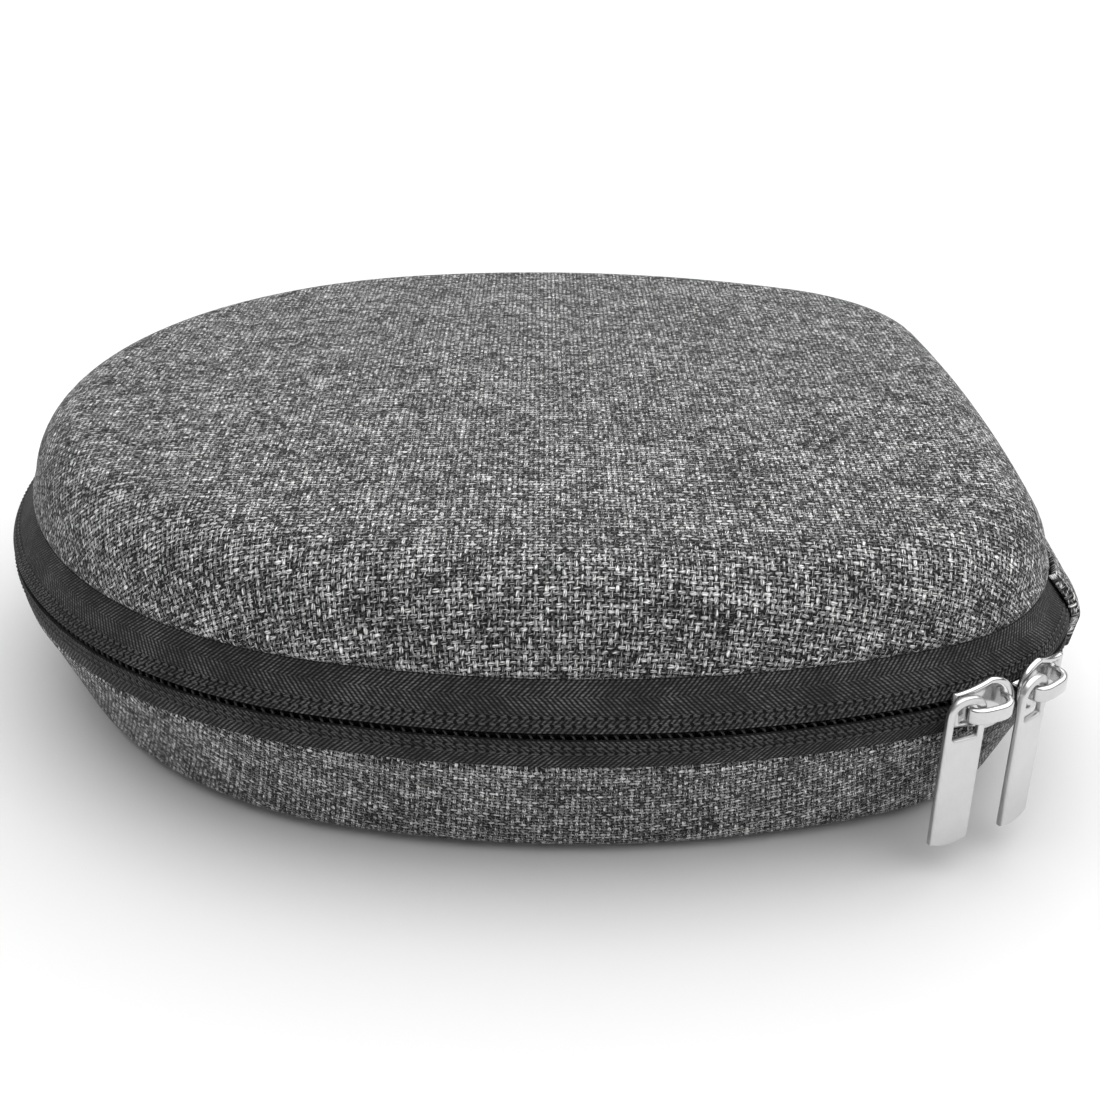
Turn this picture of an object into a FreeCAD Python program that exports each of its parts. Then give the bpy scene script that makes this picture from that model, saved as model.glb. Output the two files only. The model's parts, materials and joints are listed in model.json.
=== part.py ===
"""Hard carrying case for headphones: two moulded shells, a fabric hinge and a zip with two sliders.

Frame: millimetres, +Z up, the hinge towards +Y, the big round end towards -Y, and the plane X = 0 cuts the
case into two like halves. The case stands on Z = 0 and the origin is under the middle of its box.

The plan of the case is one closed line of tangent arcs, the zip outline. Every shell, tape and coil follows
that line at its own inset, so each arc only changes its radius from one piece to the next.
"""
import FreeCAD, Part
import math
import os
import Sketcher
from FreeCAD import Placement, Rotation, Vector

SIZES = (
    # zip outline, seen from above
    ("case_length", 206.0), ("case_width", 188.0),
    ("round_radius", 91.5), ("side_radius", 181.0), ("corner_radius", 44.0), ("back_radius", 636.0),
    ("zip_height", 31.0),
    # lid: from the crease, where its fabric meets the zip tape, up to the crowned top
    ("lid_crease_rise", 7.5), ("lid_crease_inset", 5.0), ("lid_draft", 9.5), ("lid_edge_round", 12.6),
    ("lid_top", 57.0), ("crown_radius", 1475.0),
    # base: from its crease down to the flat bottom
    ("base_crease_drop", 6.0), ("base_crease_inset", 0.6), ("base_draft", 22.0), ("base_edge_round", 7.8),
    # moulded wall: fabric cover, foam, lining
    ("cover_thickness", 0.8), ("foam_thickness", 3.6), ("lining_thickness", 0.6), ("glue_gap", 0.05),
    # zip tape, coil and the cord inside the coil
    ("tape_thickness", 0.6), ("tape_gap", 1.0), ("tape_hem", 4.6), ("tape_width_across", 0.75),
    ("coil_radius", 0.95), ("coil_bore", 0.55), ("cord_radius", 0.45), ("coil_inset", 2.7),
    ("coil_offset", 1.35), ("chain_end", 42.0),
    # binding that covers the cut edge of each wall on the inside
    ("binding_thickness", 0.7), ("binding_depth", 4.5), ("binding_start", 0.4),
    # fabric strip over the back that is the hinge, and the strip inside it
    ("strip_half_length", 52.0), ("strip_thickness", 0.9), ("strip_gap", 0.15), ("fold_gap", 0.2),
    ("strip_bend_rise", 0.1), ("strip_edge_gap", 0.2),
    ("inner_strip_half_length", 40.0), ("inner_strip_inset", 1.5), ("inner_strip_edge_gap", 1.8),
    # slider, its bail and its pull; the slider stands on the zip outline
    ("slider_length", 12.0), ("slider_width", 9.5), ("slider_tail_width", 6.4), ("plate_thickness", 1.2),
    ("slider_shoulder", 0.96), ("flank_hollow", 0.26), ("plate_bevel", 0.3),
    ("plate_clearance", 1.1), ("inner_plate_depth", 4.5), ("inner_plate_thickness", 0.9),
    ("inner_plate_length", 10.8), ("inner_plate_width", 6.8), ("inner_tail_width", 5.44),
    ("wedge_start", 1.2), ("wedge_thickness", 0.4), ("wedge_length", 3.0),
    ("bail_length", 8.2), ("bail_width", 2.8), ("bail_thickness", 1.0), ("bail_opening", 2.5),
    ("bail_corner", 1.3), ("bail_inner_corner", 0.5),
    ("pull_width", 7.4), ("pull_length", 29.0), ("pull_thickness", 1.2), ("pull_top", 3.5),
    ("pull_window_width", 4.8), ("pull_window_length", 6.2), ("pull_bar", 1.6), ("pull_end_bulge", 0.9),
    ("pull_shoulder", 3.0), ("pull_play", 0.65), ("pull_side_play", 0.8),
    # mesh pocket in the lid
    ("mesh_thickness", 0.6), ("mesh_rise", 1.0), ("elastic_width", 8.0), ("elastic_thickness", 1.2),
    ("pocket_front", -12.0), ("pocket_gap", 0.6),
)
HEADS_MEET = 32.2       # degrees round the hinge-side corner arc where the two slider heads meet
HEAD_GAP = 0.8          # left between the two heads
FAR = 130.0             # reaches past the case in any direction
OVER_TOP = 5.0          # how far the lid's wall rises past its top before the crown is cut
CROWN_EDGE_RISE = 8.0   # the crown's edge is higher than this above the crease
CROWN_EDGE_SPAN = 6.0   # and each of its arcs spans less height than this
NEAR = 0.01             # two heights closer than this are the same
EXPORTED = {}           # node name -> document object


class Size:
    """A number that also knows the spreadsheet formula it comes from."""

    def __init__(self, value, formula):
        self.value = value
        self.formula = formula

    def __add__(self, other):
        other = as_size(other)
        return Size(self.value + other.value, "(%s + %s)" % (self.formula, other.formula))

    def __sub__(self, other):
        other = as_size(other)
        return Size(self.value - other.value, "(%s - %s)" % (self.formula, other.formula))

    def __mul__(self, other):
        other = as_size(other)
        return Size(self.value * other.value, "(%s * %s)" % (self.formula, other.formula))

    def __truediv__(self, other):
        other = as_size(other)
        return Size(self.value / other.value, "(%s / %s)" % (self.formula, other.formula))

    def __neg__(self):
        return Size(-self.value, "(-1 * %s)" % self.formula)


def as_size(number):
    return number if isinstance(number, Size) else Size(float(number), repr(float(number)))


def cosine(angle):
    return Size(math.cos(math.radians(angle.value)), "cos(%s)" % angle.formula)


def tangent(angle):
    return Size(math.tan(math.radians(angle.value)), "tan(%s)" % angle.formula)


def fill_sheet():
    """Write the driving dimensions and return them by name."""
    sheet = doc.addObject("Spreadsheet::Sheet", "Sizes")
    named = {}
    for row, (alias, value) in enumerate(SIZES, 1):
        sheet.set("A%d" % row, alias)
        sheet.set("B%d" % row, str(value))
        sheet.setAlias("B%d" % row, alias)
        named[alias] = Size(value, "Sizes." + alias)
    doc.recompute()
    return named


def part_body(name):
    body = doc.addObject("PartDesign::Body", name)
    body.Label = name
    return body


def new_sketch(body, name, plane_role, offset=None):
    """A sketch on one of the body's origin planes, lifted along the plane's normal."""
    sketch = body.newObject("Sketcher::SketchObject", body.Name + "_" + name)
    plane = [f for f in body.Origin.OriginFeatures if f.Role == plane_role][0]
    sketch.AttachmentSupport = [(plane, "")]
    sketch.MapMode = "FlatFace"
    if offset is not None:
        sketch.setExpression("AttachmentOffset.Base.z", offset.formula)
    return sketch


def fix_size(sketch, constraint, size):
    """Add a dimension and bind it to its formula."""
    index = sketch.addConstraint(constraint)
    sketch.setExpression("Constraints[%d]" % index, size.formula)


def fix_coordinate(sketch, kind, geometry, point, size):
    """Dimension one coordinate of a sketch point from the origin; kind is DistanceX or DistanceY."""
    if size.value >= 0:
        constraint = Sketcher.Constraint(kind, -1, 1, geometry, point, size.value)
        fix_size(sketch, constraint, size)
    else:
        constraint = Sketcher.Constraint(kind, geometry, point, -1, 1, -size.value)
        fix_size(sketch, constraint, -size)


def fix_point(sketch, geometry, point, across, along):
    fix_coordinate(sketch, "DistanceX", geometry, point, as_size(across))
    fix_coordinate(sketch, "DistanceY", geometry, point, as_size(along))


def polygon(sketch, points):
    """A closed line of straight edges through points given as pairs of sizes."""
    corners = [(as_size(x), as_size(y)) for x, y in points]
    places = [Vector(x.value, y.value, 0) for x, y in corners]
    count = len(places)
    edges = [Part.LineSegment(places[i], places[(i + 1) % count]) for i in range(count)]
    first = sketch.addGeometry(edges, False)[0]
    for i in range(count):
        sketch.addConstraint(Sketcher.Constraint("Coincident", first + i, 2, first + (i + 1) % count, 1))
        fix_point(sketch, first + i, 1, corners[i][0], corners[i][1])


def rectangle(sketch, left, right, low, high):
    polygon(sketch, [(left, low), (right, low), (right, high), (left, high)])


def outline_arcs(inset=0.0):
    """The zip outline as (centre, radius, start, end) arcs, anticlockwise from the round end."""
    half_length = S["case_length"].value / 2
    half_width = S["case_width"].value / 2
    round_radius, side_radius = S["round_radius"].value, S["side_radius"].value
    corner_radius, back_radius = S["corner_radius"].value, S["back_radius"].value
    quarter = math.pi / 2
    side_start = -math.acos((side_radius - half_width) / (side_radius - round_radius))
    round_centre = Vector(0, outline_shift.value - half_length + round_radius, 0)
    side_centre = round_centre - direction(side_start) * (side_radius - round_radius)
    back_centre = Vector(0, outline_shift.value + half_length - back_radius, 0)
    between = back_centre - side_centre
    side_reach = side_radius - corner_radius
    back_reach = back_radius - corner_radius
    along = (between.Length ** 2 + side_reach ** 2 - back_reach ** 2) / (2 * between.Length)
    across = math.sqrt(side_reach ** 2 - along ** 2)
    between.normalize()
    corner_centre = side_centre + between * along + Vector(-between.y, between.x, 0) * across
    corner_start = heading(corner_centre - side_centre)
    corner_end = heading(corner_centre - back_centre)
    right = [(round_centre, round_radius, -quarter, side_start),
             (side_centre, side_radius, side_start, corner_start),
             (corner_centre, corner_radius, corner_start, corner_end),
             (back_centre, back_radius, corner_end, quarter)]
    left = [(Vector(-c.x, c.y, 0), r, math.pi - b, math.pi - a) for c, r, a, b in reversed(right)]
    return [(c, r - inset, a, b) for c, r, a, b in right + left]


def direction(angle):
    return Vector(math.cos(angle), math.sin(angle), 0)


def heading(vector):
    return math.atan2(vector.y, vector.x)


def outline(sketch, inset):
    """Draw the zip outline at an inset, every radius and end bound to the sheet."""
    arcs = [Part.ArcOfCircle(Part.Circle(c, Vector(0, 0, 1), r), a, b)
            for c, r, a, b in outline_arcs(inset.value)]
    sketch.addGeometry(arcs, False)
    for arc in (0, 1, 2, 4, 5, 6):
        sketch.addConstraint(Sketcher.Constraint("Tangent", arc, 2, arc + 1, 1))
    for arc, following in ((3, 4), (7, 0)):
        sketch.addConstraint(Sketcher.Constraint("Coincident", arc, 2, following, 1))
        sketch.addConstraint(Sketcher.Constraint("Coincident", arc, 3, following, 3))
        sketch.addConstraint(Sketcher.Constraint("PointOnObject", arc, 2, -2))
        sketch.addConstraint(Sketcher.Constraint("PointOnObject", arc, 3, -2))
    for name, arc_pair in (("round_radius", (0,)), ("side_radius", (1, 6)),
                           ("corner_radius", (2, 5)), ("back_radius", (3,))):
        for arc in arc_pair:
            radius = S[name] - inset
            fix_size(sketch, Sketcher.Constraint("Radius", arc, radius.value), radius)
    half_length = S["case_length"] / 2 - inset
    fix_coordinate(sketch, "DistanceY", 0, 1, outline_shift - half_length)
    fix_coordinate(sketch, "DistanceY", 3, 2, outline_shift + half_length)
    side_centre = S["case_width"] / 2 - S["side_radius"]
    fix_coordinate(sketch, "DistanceX", 1, 3, side_centre)
    fix_coordinate(sketch, "DistanceX", 6, 3, -side_centre)


def pad(body, sketch, name, length, reverse=False, taper=None, both_ways=False):
    feature = body.newObject("PartDesign::Pad", body.Name + "_" + name)
    feature.Profile = sketch
    feature.Reversed = reverse
    feature.Midplane = both_ways
    feature.setExpression("Length", as_size(length).formula)
    if taper is not None:
        feature.setExpression("TaperAngle", (-taper).formula)
    sketch.Visibility = False
    return feature


def pocket_through(body, sketch, name):
    """Cut the sketch out of the body, both ways through everything."""
    feature = body.newObject("PartDesign::Pocket", body.Name + "_" + name)
    feature.Profile = sketch
    feature.Midplane = True
    feature.Length = 4 * FAR
    return feature


def edges_where(shape, test):
    return ["Edge%d" % (i + 1) for i, edge in enumerate(shape.Edges) if test(edge.BoundBox)]


def round_edges(body, base, test, name, radius):
    """Fillet the edges of the base feature that pass the test."""
    doc.recompute()
    feature = body.newObject("PartDesign::Fillet", body.Name + "_" + name)
    feature.Base = (base, edges_where(base.Shape, test))
    feature.setExpression("Radius", as_size(radius).formula)
    return feature


def bevel_edges(body, base, test, name, width):
    """Chamfer the edges of the base feature that pass the test."""
    doc.recompute()
    feature = body.newObject("PartDesign::Chamfer", body.Name + "_" + name)
    feature.Base = (base, edges_where(base.Shape, test))
    feature.setExpression("Size", as_size(width).formula)
    return feature


def lid_form(name, depth):
    """The solid under one surface of the lid wall, depth being how deep in the wall that surface lies."""
    body = part_body(name)
    crease = S["zip_height"] + S["lid_crease_rise"]
    sketch = new_sketch(body, "outline", "XY_Plane", crease)
    outline(sketch, S["lid_crease_inset"] + depth / cosine(S["lid_draft"]))
    pad(body, sketch, "wall", S["lid_top"] - crease + OVER_TOP, taper=S["lid_draft"])
    crown = new_sketch(body, "crown", "XZ_Plane")
    centre = S["lid_top"] - S["crown_radius"]
    radius = S["crown_radius"] - depth
    end = math.asin(FAR / radius.value)
    sphere_line = Part.Circle(Vector(0, centre.value, 0), Vector(0, 0, 1), radius.value)
    arc = Part.ArcOfCircle(sphere_line, math.pi / 2 - end, math.pi / 2)
    top, low = arc.EndPoint, arc.StartPoint
    above = Vector(0, FAR, 0)
    beyond = Vector(FAR, FAR, 0)
    crown.addGeometry([arc, Part.LineSegment(top, above), Part.LineSegment(above, beyond),
                       Part.LineSegment(beyond, low)], False)
    for edge, end_point, following, start_point in ((0, 2, 1, 1), (1, 2, 2, 1), (2, 2, 3, 1), (3, 2, 0, 1)):
        crown.addConstraint(Sketcher.Constraint("Coincident", edge, end_point, following, start_point))
    crown.addConstraint(Sketcher.Constraint("PointOnObject", 0, 3, -2))
    crown.addConstraint(Sketcher.Constraint("PointOnObject", 1, 1, -2))
    fix_size(crown, Sketcher.Constraint("Radius", 0, radius.value), radius)
    fix_coordinate(crown, "DistanceY", 0, 3, centre)
    fix_point(crown, 1, 2, 0, FAR)
    fix_point(crown, 2, 2, FAR, FAR)
    fix_coordinate(crown, "DistanceX", 3, 2, as_size(FAR))
    doc.recompute()
    groove = body.newObject("PartDesign::Groove", name + "_top")
    groove.Profile = crown
    groove.ReferenceAxis = (crown, ["V_Axis"])
    groove.Angle = 360
    edge_low = crease.value + CROWN_EDGE_RISE
    round_edges(body, groove, lambda box: box.ZMin > edge_low and box.ZLength < CROWN_EDGE_SPAN, "round",
                S["lid_edge_round"] - depth)
    doc.recompute()
    return body


def base_form(name, depth):
    """The solid over one surface of the base wall, depth being how deep in the wall that surface lies."""
    body = part_body(name)
    crease = S["zip_height"] - S["base_crease_drop"]
    sketch = new_sketch(body, "outline", "XY_Plane", crease)
    outline(sketch, S["base_crease_inset"] + depth / cosine(S["base_draft"]))
    wall = pad(body, sketch, "wall", crease - depth, reverse=True, taper=S["base_draft"])
    round_edges(body, wall, lambda box: box.ZMax < depth.value + NEAR, "round", S["base_edge_round"] - depth)
    doc.recompute()
    return body


def wall_layers(side, form):
    """Cover, foam and lining of one shell, each the space between two surfaces of its wall."""
    depth = as_size(0)
    for layer, thickness in (("fabric_cover", "cover_thickness"), ("foam_shell", "foam_thickness"),
                             ("lining", "lining_thickness")):
        name = side + "_" + layer
        cut = doc.addObject("Part::Cut", name)
        cut.Label = name
        cut.Base = form(name + "_outside", depth)
        cut.Tool = form(name + "_inside", depth + S[thickness])
        EXPORTED[name] = cut
        depth = depth + S[thickness] + S["glue_gap"]


def draw_circle(sketch, across, height, radius):
    centre = Vector(across.value, height.value, 0)
    sketch.addGeometry(Part.Circle(centre, Vector(0, 0, 1), radius.value), False)
    fix_size(sketch, Sketcher.Constraint("Radius", 0, radius.value), radius)
    fix_point(sketch, 0, 3, across, height)


def sweep(body, kind, section, path):
    """Carry a section round the path, adding to the body or cutting it."""
    doc.recompute()
    feature = body.newObject("PartDesign::" + kind, section.Name + "_sweep")
    feature.Profile = section
    feature.Spine = path


def band(name, points=None, circle=None, keep=None, leave_out=None):
    """A section carried once round the zip outline.

    The section is a polygon of (distance out from the outline, height) pairs, or a circle given as
    (distance out, height, radius, bore), bore being None for a solid cord.
    keep leaves only the stretch over the back that is this far each side of the middle; leave_out
    takes that stretch away instead.
    """
    body = part_body(name)
    path = new_sketch(body, "path", "XY_Plane")
    outline(path, as_size(0))
    section = new_sketch(body, "section", "YZ_Plane")
    round_end = outline_shift - S["case_length"] / 2
    if points:
        polygon(section, [(round_end - out, height) for out, height in points])
        sweep(body, "AdditivePipe", section, path)
    else:
        out, height, radius, bore = circle
        draw_circle(section, round_end - out, height, radius)
        sweep(body, "AdditivePipe", section, path)
        if bore is not None:
            hollow = new_sketch(body, "bore", "YZ_Plane")
            draw_circle(hollow, round_end - out, height, bore)
            sweep(body, "SubtractivePipe", hollow, path)
    if leave_out is not None:
        gap = new_sketch(body, "gap", "XY_Plane")
        rectangle(gap, -leave_out, leave_out, 0, FAR)
        pocket_through(body, gap, "end_gap")
    if keep is not None:
        rest = new_sketch(body, "rest", "XY_Plane")
        polygon(rest, [(-FAR, -FAR), (FAR, -FAR), (FAR, FAR), (keep, FAR), (keep, 0), (-keep, 0),
                       (-keep, FAR), (-FAR, FAR)])
        pocket_through(body, rest, "ends")
    EXPORTED[name] = body
    return body


def zip_half(side):
    """Tape, coil, coil cord and inner binding of one half of the zip; up is +1 on the lid, -1 on the base."""
    if side == "lid":
        up, inset, draft = 1, S["lid_crease_inset"], S["lid_draft"]
        crease = S["zip_height"] + S["lid_crease_rise"]
    else:
        up, inset, draft = -1, S["base_crease_inset"], S["base_draft"]
        crease = S["zip_height"] - S["base_crease_drop"]
    tip = S["zip_height"] + S["tape_gap"] * (up / 2)
    hem_top = crease - S["glue_gap"] * up
    hem_low = hem_top - S["tape_thickness"] * up
    across = S["tape_width_across"]
    hem_end = -inset - S["tape_hem"]
    band(side + "_zip_tape", leave_out=S["chain_end"], points=[
        (as_size(0), tip), (-inset, hem_top), (hem_end, hem_top), (hem_end, hem_low),
        (-inset - across, hem_low), (-across, tip)])
    coil_height = S["zip_height"] + S["coil_offset"] * up
    band(side + "_zip_coil", leave_out=S["chain_end"],
         circle=(-S["coil_inset"], coil_height, S["coil_radius"], S["coil_bore"]))
    band(side + "_coil_cord", leave_out=S["chain_end"],
         circle=(-S["coil_inset"], coil_height, S["cord_radius"], None))
    wall = S["cover_thickness"] + S["foam_thickness"] + S["lining_thickness"] + S["glue_gap"] * 2
    inner_face = -inset - wall / cosine(draft) - S["glue_gap"] * 2
    thick = S["binding_thickness"]
    top_of_leg = hem_low - S["glue_gap"] * up
    foot = top_of_leg - thick * up
    leg_end = crease + S["binding_depth"] * up
    slope = tangent(draft) * S["binding_depth"]
    start = -inset - across - S["binding_start"]
    band(side + "_rim_binding", points=[
        (start, top_of_leg), (start, foot),
        (inner_face - thick, foot), (inner_face - slope - thick, leg_end),
        (inner_face - slope, leg_end), (inner_face, top_of_leg)])


def hinge_strips():
    """The fabric hinge, parted at its fold: the upper half goes with the lid, the lower half stays."""
    stand = S["strip_gap"] + S["strip_thickness"]
    for half, up, inset, drop in (("upper", 1, S["lid_crease_inset"], S["lid_crease_rise"]),
                                  ("lower", -1, S["base_crease_inset"], S["base_crease_drop"])):
        fold = S["zip_height"] + S["fold_gap"] * (up / 2)
        tip = S["zip_height"] + (S["tape_gap"] / 2 + S["strip_bend_rise"]) * up
        edge = S["zip_height"] + (drop - S["strip_edge_gap"]) * up
        inner_edge = S["zip_height"] + (drop - S["inner_strip_edge_gap"]) * up
        band("hinge_strip_" + half, keep=S["strip_half_length"], points=[
            (S["strip_gap"], fold), (stand, fold), (stand, tip), (stand - inset, edge),
            (S["strip_gap"] - inset, edge), (S["strip_gap"], tip)])
        inner_tip = -S["inner_strip_inset"]
        band("hinge_lining_" + half, keep=S["inner_strip_half_length"], points=[
            (inner_tip, fold), (inner_tip, tip), (inner_tip - inset, inner_edge),
            (inner_tip - inset - S["tape_thickness"], inner_edge),
            (inner_tip - S["tape_thickness"], fold)])


def mesh_pocket():
    """A net pocket over the hinge half of the lid, and the elastic along its free edge."""
    low = S["zip_height"] + S["lid_crease_rise"] + S["mesh_rise"]
    wall = S["cover_thickness"] + S["foam_thickness"] + S["lining_thickness"] + S["glue_gap"] * 2
    edge = S["lid_crease_inset"] + wall / cosine(S["lid_draft"]) + S["binding_thickness"] + S["pocket_gap"]
    for name, height, front, back in (
            ("mesh_pocket", S["mesh_thickness"], S["pocket_front"], None),
            ("pocket_elastic", S["elastic_thickness"], S["pocket_front"] - S["elastic_width"],
             S["pocket_front"] - S["glue_gap"])):
        body = part_body(name)
        sheet = new_sketch(body, "outline", "XY_Plane", low)
        outline(sheet, edge)
        pad(body, sheet, "sheet", height)
        front_cut = new_sketch(body, "front", "XY_Plane")
        rectangle(front_cut, -FAR, FAR, -FAR, front)
        pocket_through(body, front_cut, "front_cut")
        if back is not None:
            back_cut = new_sketch(body, "back", "XY_Plane")
            rectangle(back_cut, -FAR, FAR, back, FAR)
            pocket_through(body, back_cut, "back_cut")
        EXPORTED[name] = body


def slider_plate(sketch, length, width, tail_width):
    """Shield outline of a slider plate: square tail, hollow flanks, round head towards +X."""
    tail = -length / 2
    shoulder = S["slider_shoulder"]
    half, half_tail = width / 2, tail_width / 2
    places = [Vector(tail.value, -half_tail.value, 0), Vector(shoulder.value, -half.value, 0),
              Vector((length / 2).value, 0, 0), Vector(shoulder.value, half.value, 0),
              Vector(tail.value, half_tail.value, 0)]
    hollow = Vector((tail.value + shoulder.value) / 2, half_tail.value + S["flank_hollow"].value, 0)
    edges = [Part.Arc(places[0], Vector(hollow.x, -hollow.y, 0), places[1]),
             Part.Arc(places[1], places[2], places[3]),
             Part.Arc(places[3], hollow, places[4]),
             Part.LineSegment(places[4], places[0])]
    sketch.addGeometry(edges, False)
    fix_point(sketch, 3, 1, tail, half_tail)
    fix_point(sketch, 3, 2, tail, -half_tail)


def slider(name, centre, outward, head):
    """Slider body, bail and pull, in a frame with X along the zip, Y up and Z out of the case.

    head is +1 where the slider's head is towards the hinge and -1 where it is towards the round end.
    """
    along = Vector(0, 0, 1).cross(outward)
    upright = Placement(centre, Rotation(along, Vector(0, 0, 1), outward, "XYZ"))
    headed = Placement(centre, Rotation(along * head, Vector(0, 0, head), outward, "XYZ"))
    body = part_body(name + "_slider_body")
    plate_low = S["plate_clearance"]
    plate_top = plate_low + S["plate_thickness"]
    inner_top = -S["inner_plate_depth"]
    outer = new_sketch(body, "outer_plate", "XY_Plane", plate_low)
    slider_plate(outer, S["slider_length"], S["slider_width"], S["slider_tail_width"])
    plate = pad(body, outer, "plate", S["plate_thickness"])
    bevel_edges(body, plate, lambda box: box.ZMin > plate_top.value - NEAR, "plate_bevel", S["plate_bevel"])
    wedge = new_sketch(body, "wedge", "XY_Plane", inner_top)
    half_wedge = S["wedge_thickness"] / 2
    wedge_start = S["wedge_start"]
    rectangle(wedge, wedge_start, wedge_start + S["wedge_length"], -half_wedge, half_wedge)
    pad(body, wedge, "wedge_post", plate_low - inner_top)
    inner = new_sketch(body, "inner_plate", "XY_Plane", inner_top)
    slider_plate(inner, S["inner_plate_length"], S["inner_plate_width"], S["inner_tail_width"])
    pad(body, inner, "inner", S["inner_plate_thickness"], reverse=True)
    body.Placement = headed
    EXPORTED[body.Label] = body

    bail = part_body(name + "_slider_bail")
    arch = new_sketch(bail, "arch", "XZ_Plane")
    reach = S["bail_length"] / 2
    inside = reach - S["bail_thickness"]
    under = plate_top + S["bail_opening"]
    over = under + S["bail_thickness"]
    polygon(arch, [(-reach, plate_top), (-inside, plate_top), (-inside, under), (inside, under),
                   (inside, plate_top), (reach, plate_top), (reach, over), (-reach, over)])
    strap = pad(bail, arch, "strap", S["bail_width"], both_ways=True)
    corners = round_edges(bail, strap, lambda box: box.ZMin > over.value - NEAR and box.XLength < NEAR,
                          "corners", S["bail_corner"])
    round_edges(bail, corners, lambda box: abs(box.ZMin - under.value) < NEAR and box.XLength < NEAR,
                "inner_corners", S["bail_inner_corner"])
    bail.Placement = upright
    EXPORTED[bail.Label] = bail

    pull = part_body(name + "_slider_pull")
    # the pull hangs on the leg of the bail that is towards the round end
    middle = -(S["bail_length"] - S["bail_thickness"]) / 2 - S["pull_side_play"]
    half = S["pull_width"] / 2
    top = S["pull_top"]
    bottom = top - S["pull_length"]
    lift = plate_top + S["pull_play"]
    tag = new_sketch(pull, "tag", "XY_Plane", lift)
    low_corner = bottom + S["pull_end_bulge"]
    places = [Vector((middle - half).value, low_corner.value, 0), Vector(middle.value, bottom.value, 0),
              Vector((middle + half).value, low_corner.value, 0), Vector((middle + half).value, top.value, 0),
              Vector((middle - half).value, top.value, 0)]
    tag.addGeometry([Part.Arc(places[0], places[1], places[2]), Part.LineSegment(places[2], places[3]),
                     Part.LineSegment(places[3], places[4]), Part.LineSegment(places[4], places[0])], False)
    for edge, point, following, start in ((0, 2, 1, 1), (1, 2, 2, 1), (2, 2, 3, 1), (3, 2, 0, 1)):
        tag.addConstraint(Sketcher.Constraint("Coincident", edge, point, following, start))
    fix_point(tag, 1, 1, middle + half, low_corner)
    fix_point(tag, 2, 1, middle + half, top)
    fix_point(tag, 3, 1, middle - half, top)
    fix_point(tag, 3, 2, middle - half, low_corner)
    strip = pad(pull, tag, "strip", S["pull_thickness"])
    round_edges(pull, strip, lambda box: box.YMin > top.value - NEAR and box.XLength < NEAR,
                "shoulders", S["pull_shoulder"])
    window = new_sketch(pull, "window", "XY_Plane")
    half_window = S["pull_window_width"] / 2
    window_top = top - S["pull_bar"]
    rectangle(window, middle - half_window, middle + half_window,
              window_top - S["pull_window_length"], window_top)
    pocket_through(pull, window, "window_cut")
    pull.Placement = upright
    EXPORTED[pull.Label] = pull


def both_sliders():
    """The front slider runs along the side, the rear one round the corner, and their heads meet."""
    centre, radius, corner_start, _ = outline_arcs()[2]
    side_centre, side_radius, _, _ = outline_arcs()[1]
    reach = (S["slider_length"].value + HEAD_GAP) / 2
    meeting = math.radians(HEADS_MEET)
    rear_angle = meeting + reach / radius
    past_corner = (meeting - corner_start) * radius - reach
    front_angle = corner_start + past_corner / side_radius
    slider("front", side_centre + direction(front_angle) * side_radius + lift_to_zip, direction(front_angle), 1)
    slider("rear", centre + direction(rear_angle) * radius + lift_to_zip, direction(rear_angle), -1)
    return front_angle, rear_angle


def check_document():
    """Stop if any object failed to build."""
    for thing in doc.Objects:
        if "Invalid" in thing.State or "Error" in thing.State:
            raise RuntimeError("%s is %s" % (thing.Name, thing.State))
    for name, thing in EXPORTED.items():
        shape = thing.Shape
        if shape.isNull() or not shape.isValid() or len(shape.Solids) < 1:
            raise RuntimeError("%s has no valid solid" % name)


doc = FreeCAD.newDocument("headphone_case")
S = fill_sheet()
# the strip stands out past the zip outline at the back, so the outline moves forward by half of that
outline_shift = -(S["strip_gap"] + S["strip_thickness"]) / 2
lift_to_zip = Vector(0, 0, S["zip_height"].value)

wall_layers("base", base_form)
wall_layers("lid", lid_form)
for shell_side in ("base", "lid"):
    zip_half(shell_side)
hinge_strips()
mesh_pocket()
slider_angles = both_sliders()
doc.recompute()
check_document()

os.makedirs("parts", exist_ok=True)
for node, item in EXPORTED.items():
    item.Shape.exportStep("parts/%s.step" % node)
    box = item.Shape.BoundBox
    print("%-22s solids %d  volume %9.1f  X %.1f..%.1f  Y %.1f..%.1f  Z %.1f..%.1f" % (
        node, len(item.Shape.Solids), item.Shape.Volume, box.XMin, box.XMax, box.YMin, box.YMax,
        box.ZMin, box.ZMax))
for arc_centre, arc_radius, arc_start, arc_end in outline_arcs()[:4]:
    print("arc centre %.3f %.3f radius %.1f from %.3f to %.3f degrees" % (
        arc_centre.x, arc_centre.y, arc_radius, math.degrees(arc_start), math.degrees(arc_end)))
print("slider angles", [round(math.degrees(angle), 3) for angle in slider_angles])
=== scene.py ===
"""Looks of the headphone carrying case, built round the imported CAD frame. Metres, in the frame of the CAD."""
import json
import math

import bmesh
import bpy
import numpy as np
from mathutils import Matrix, Vector


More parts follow.
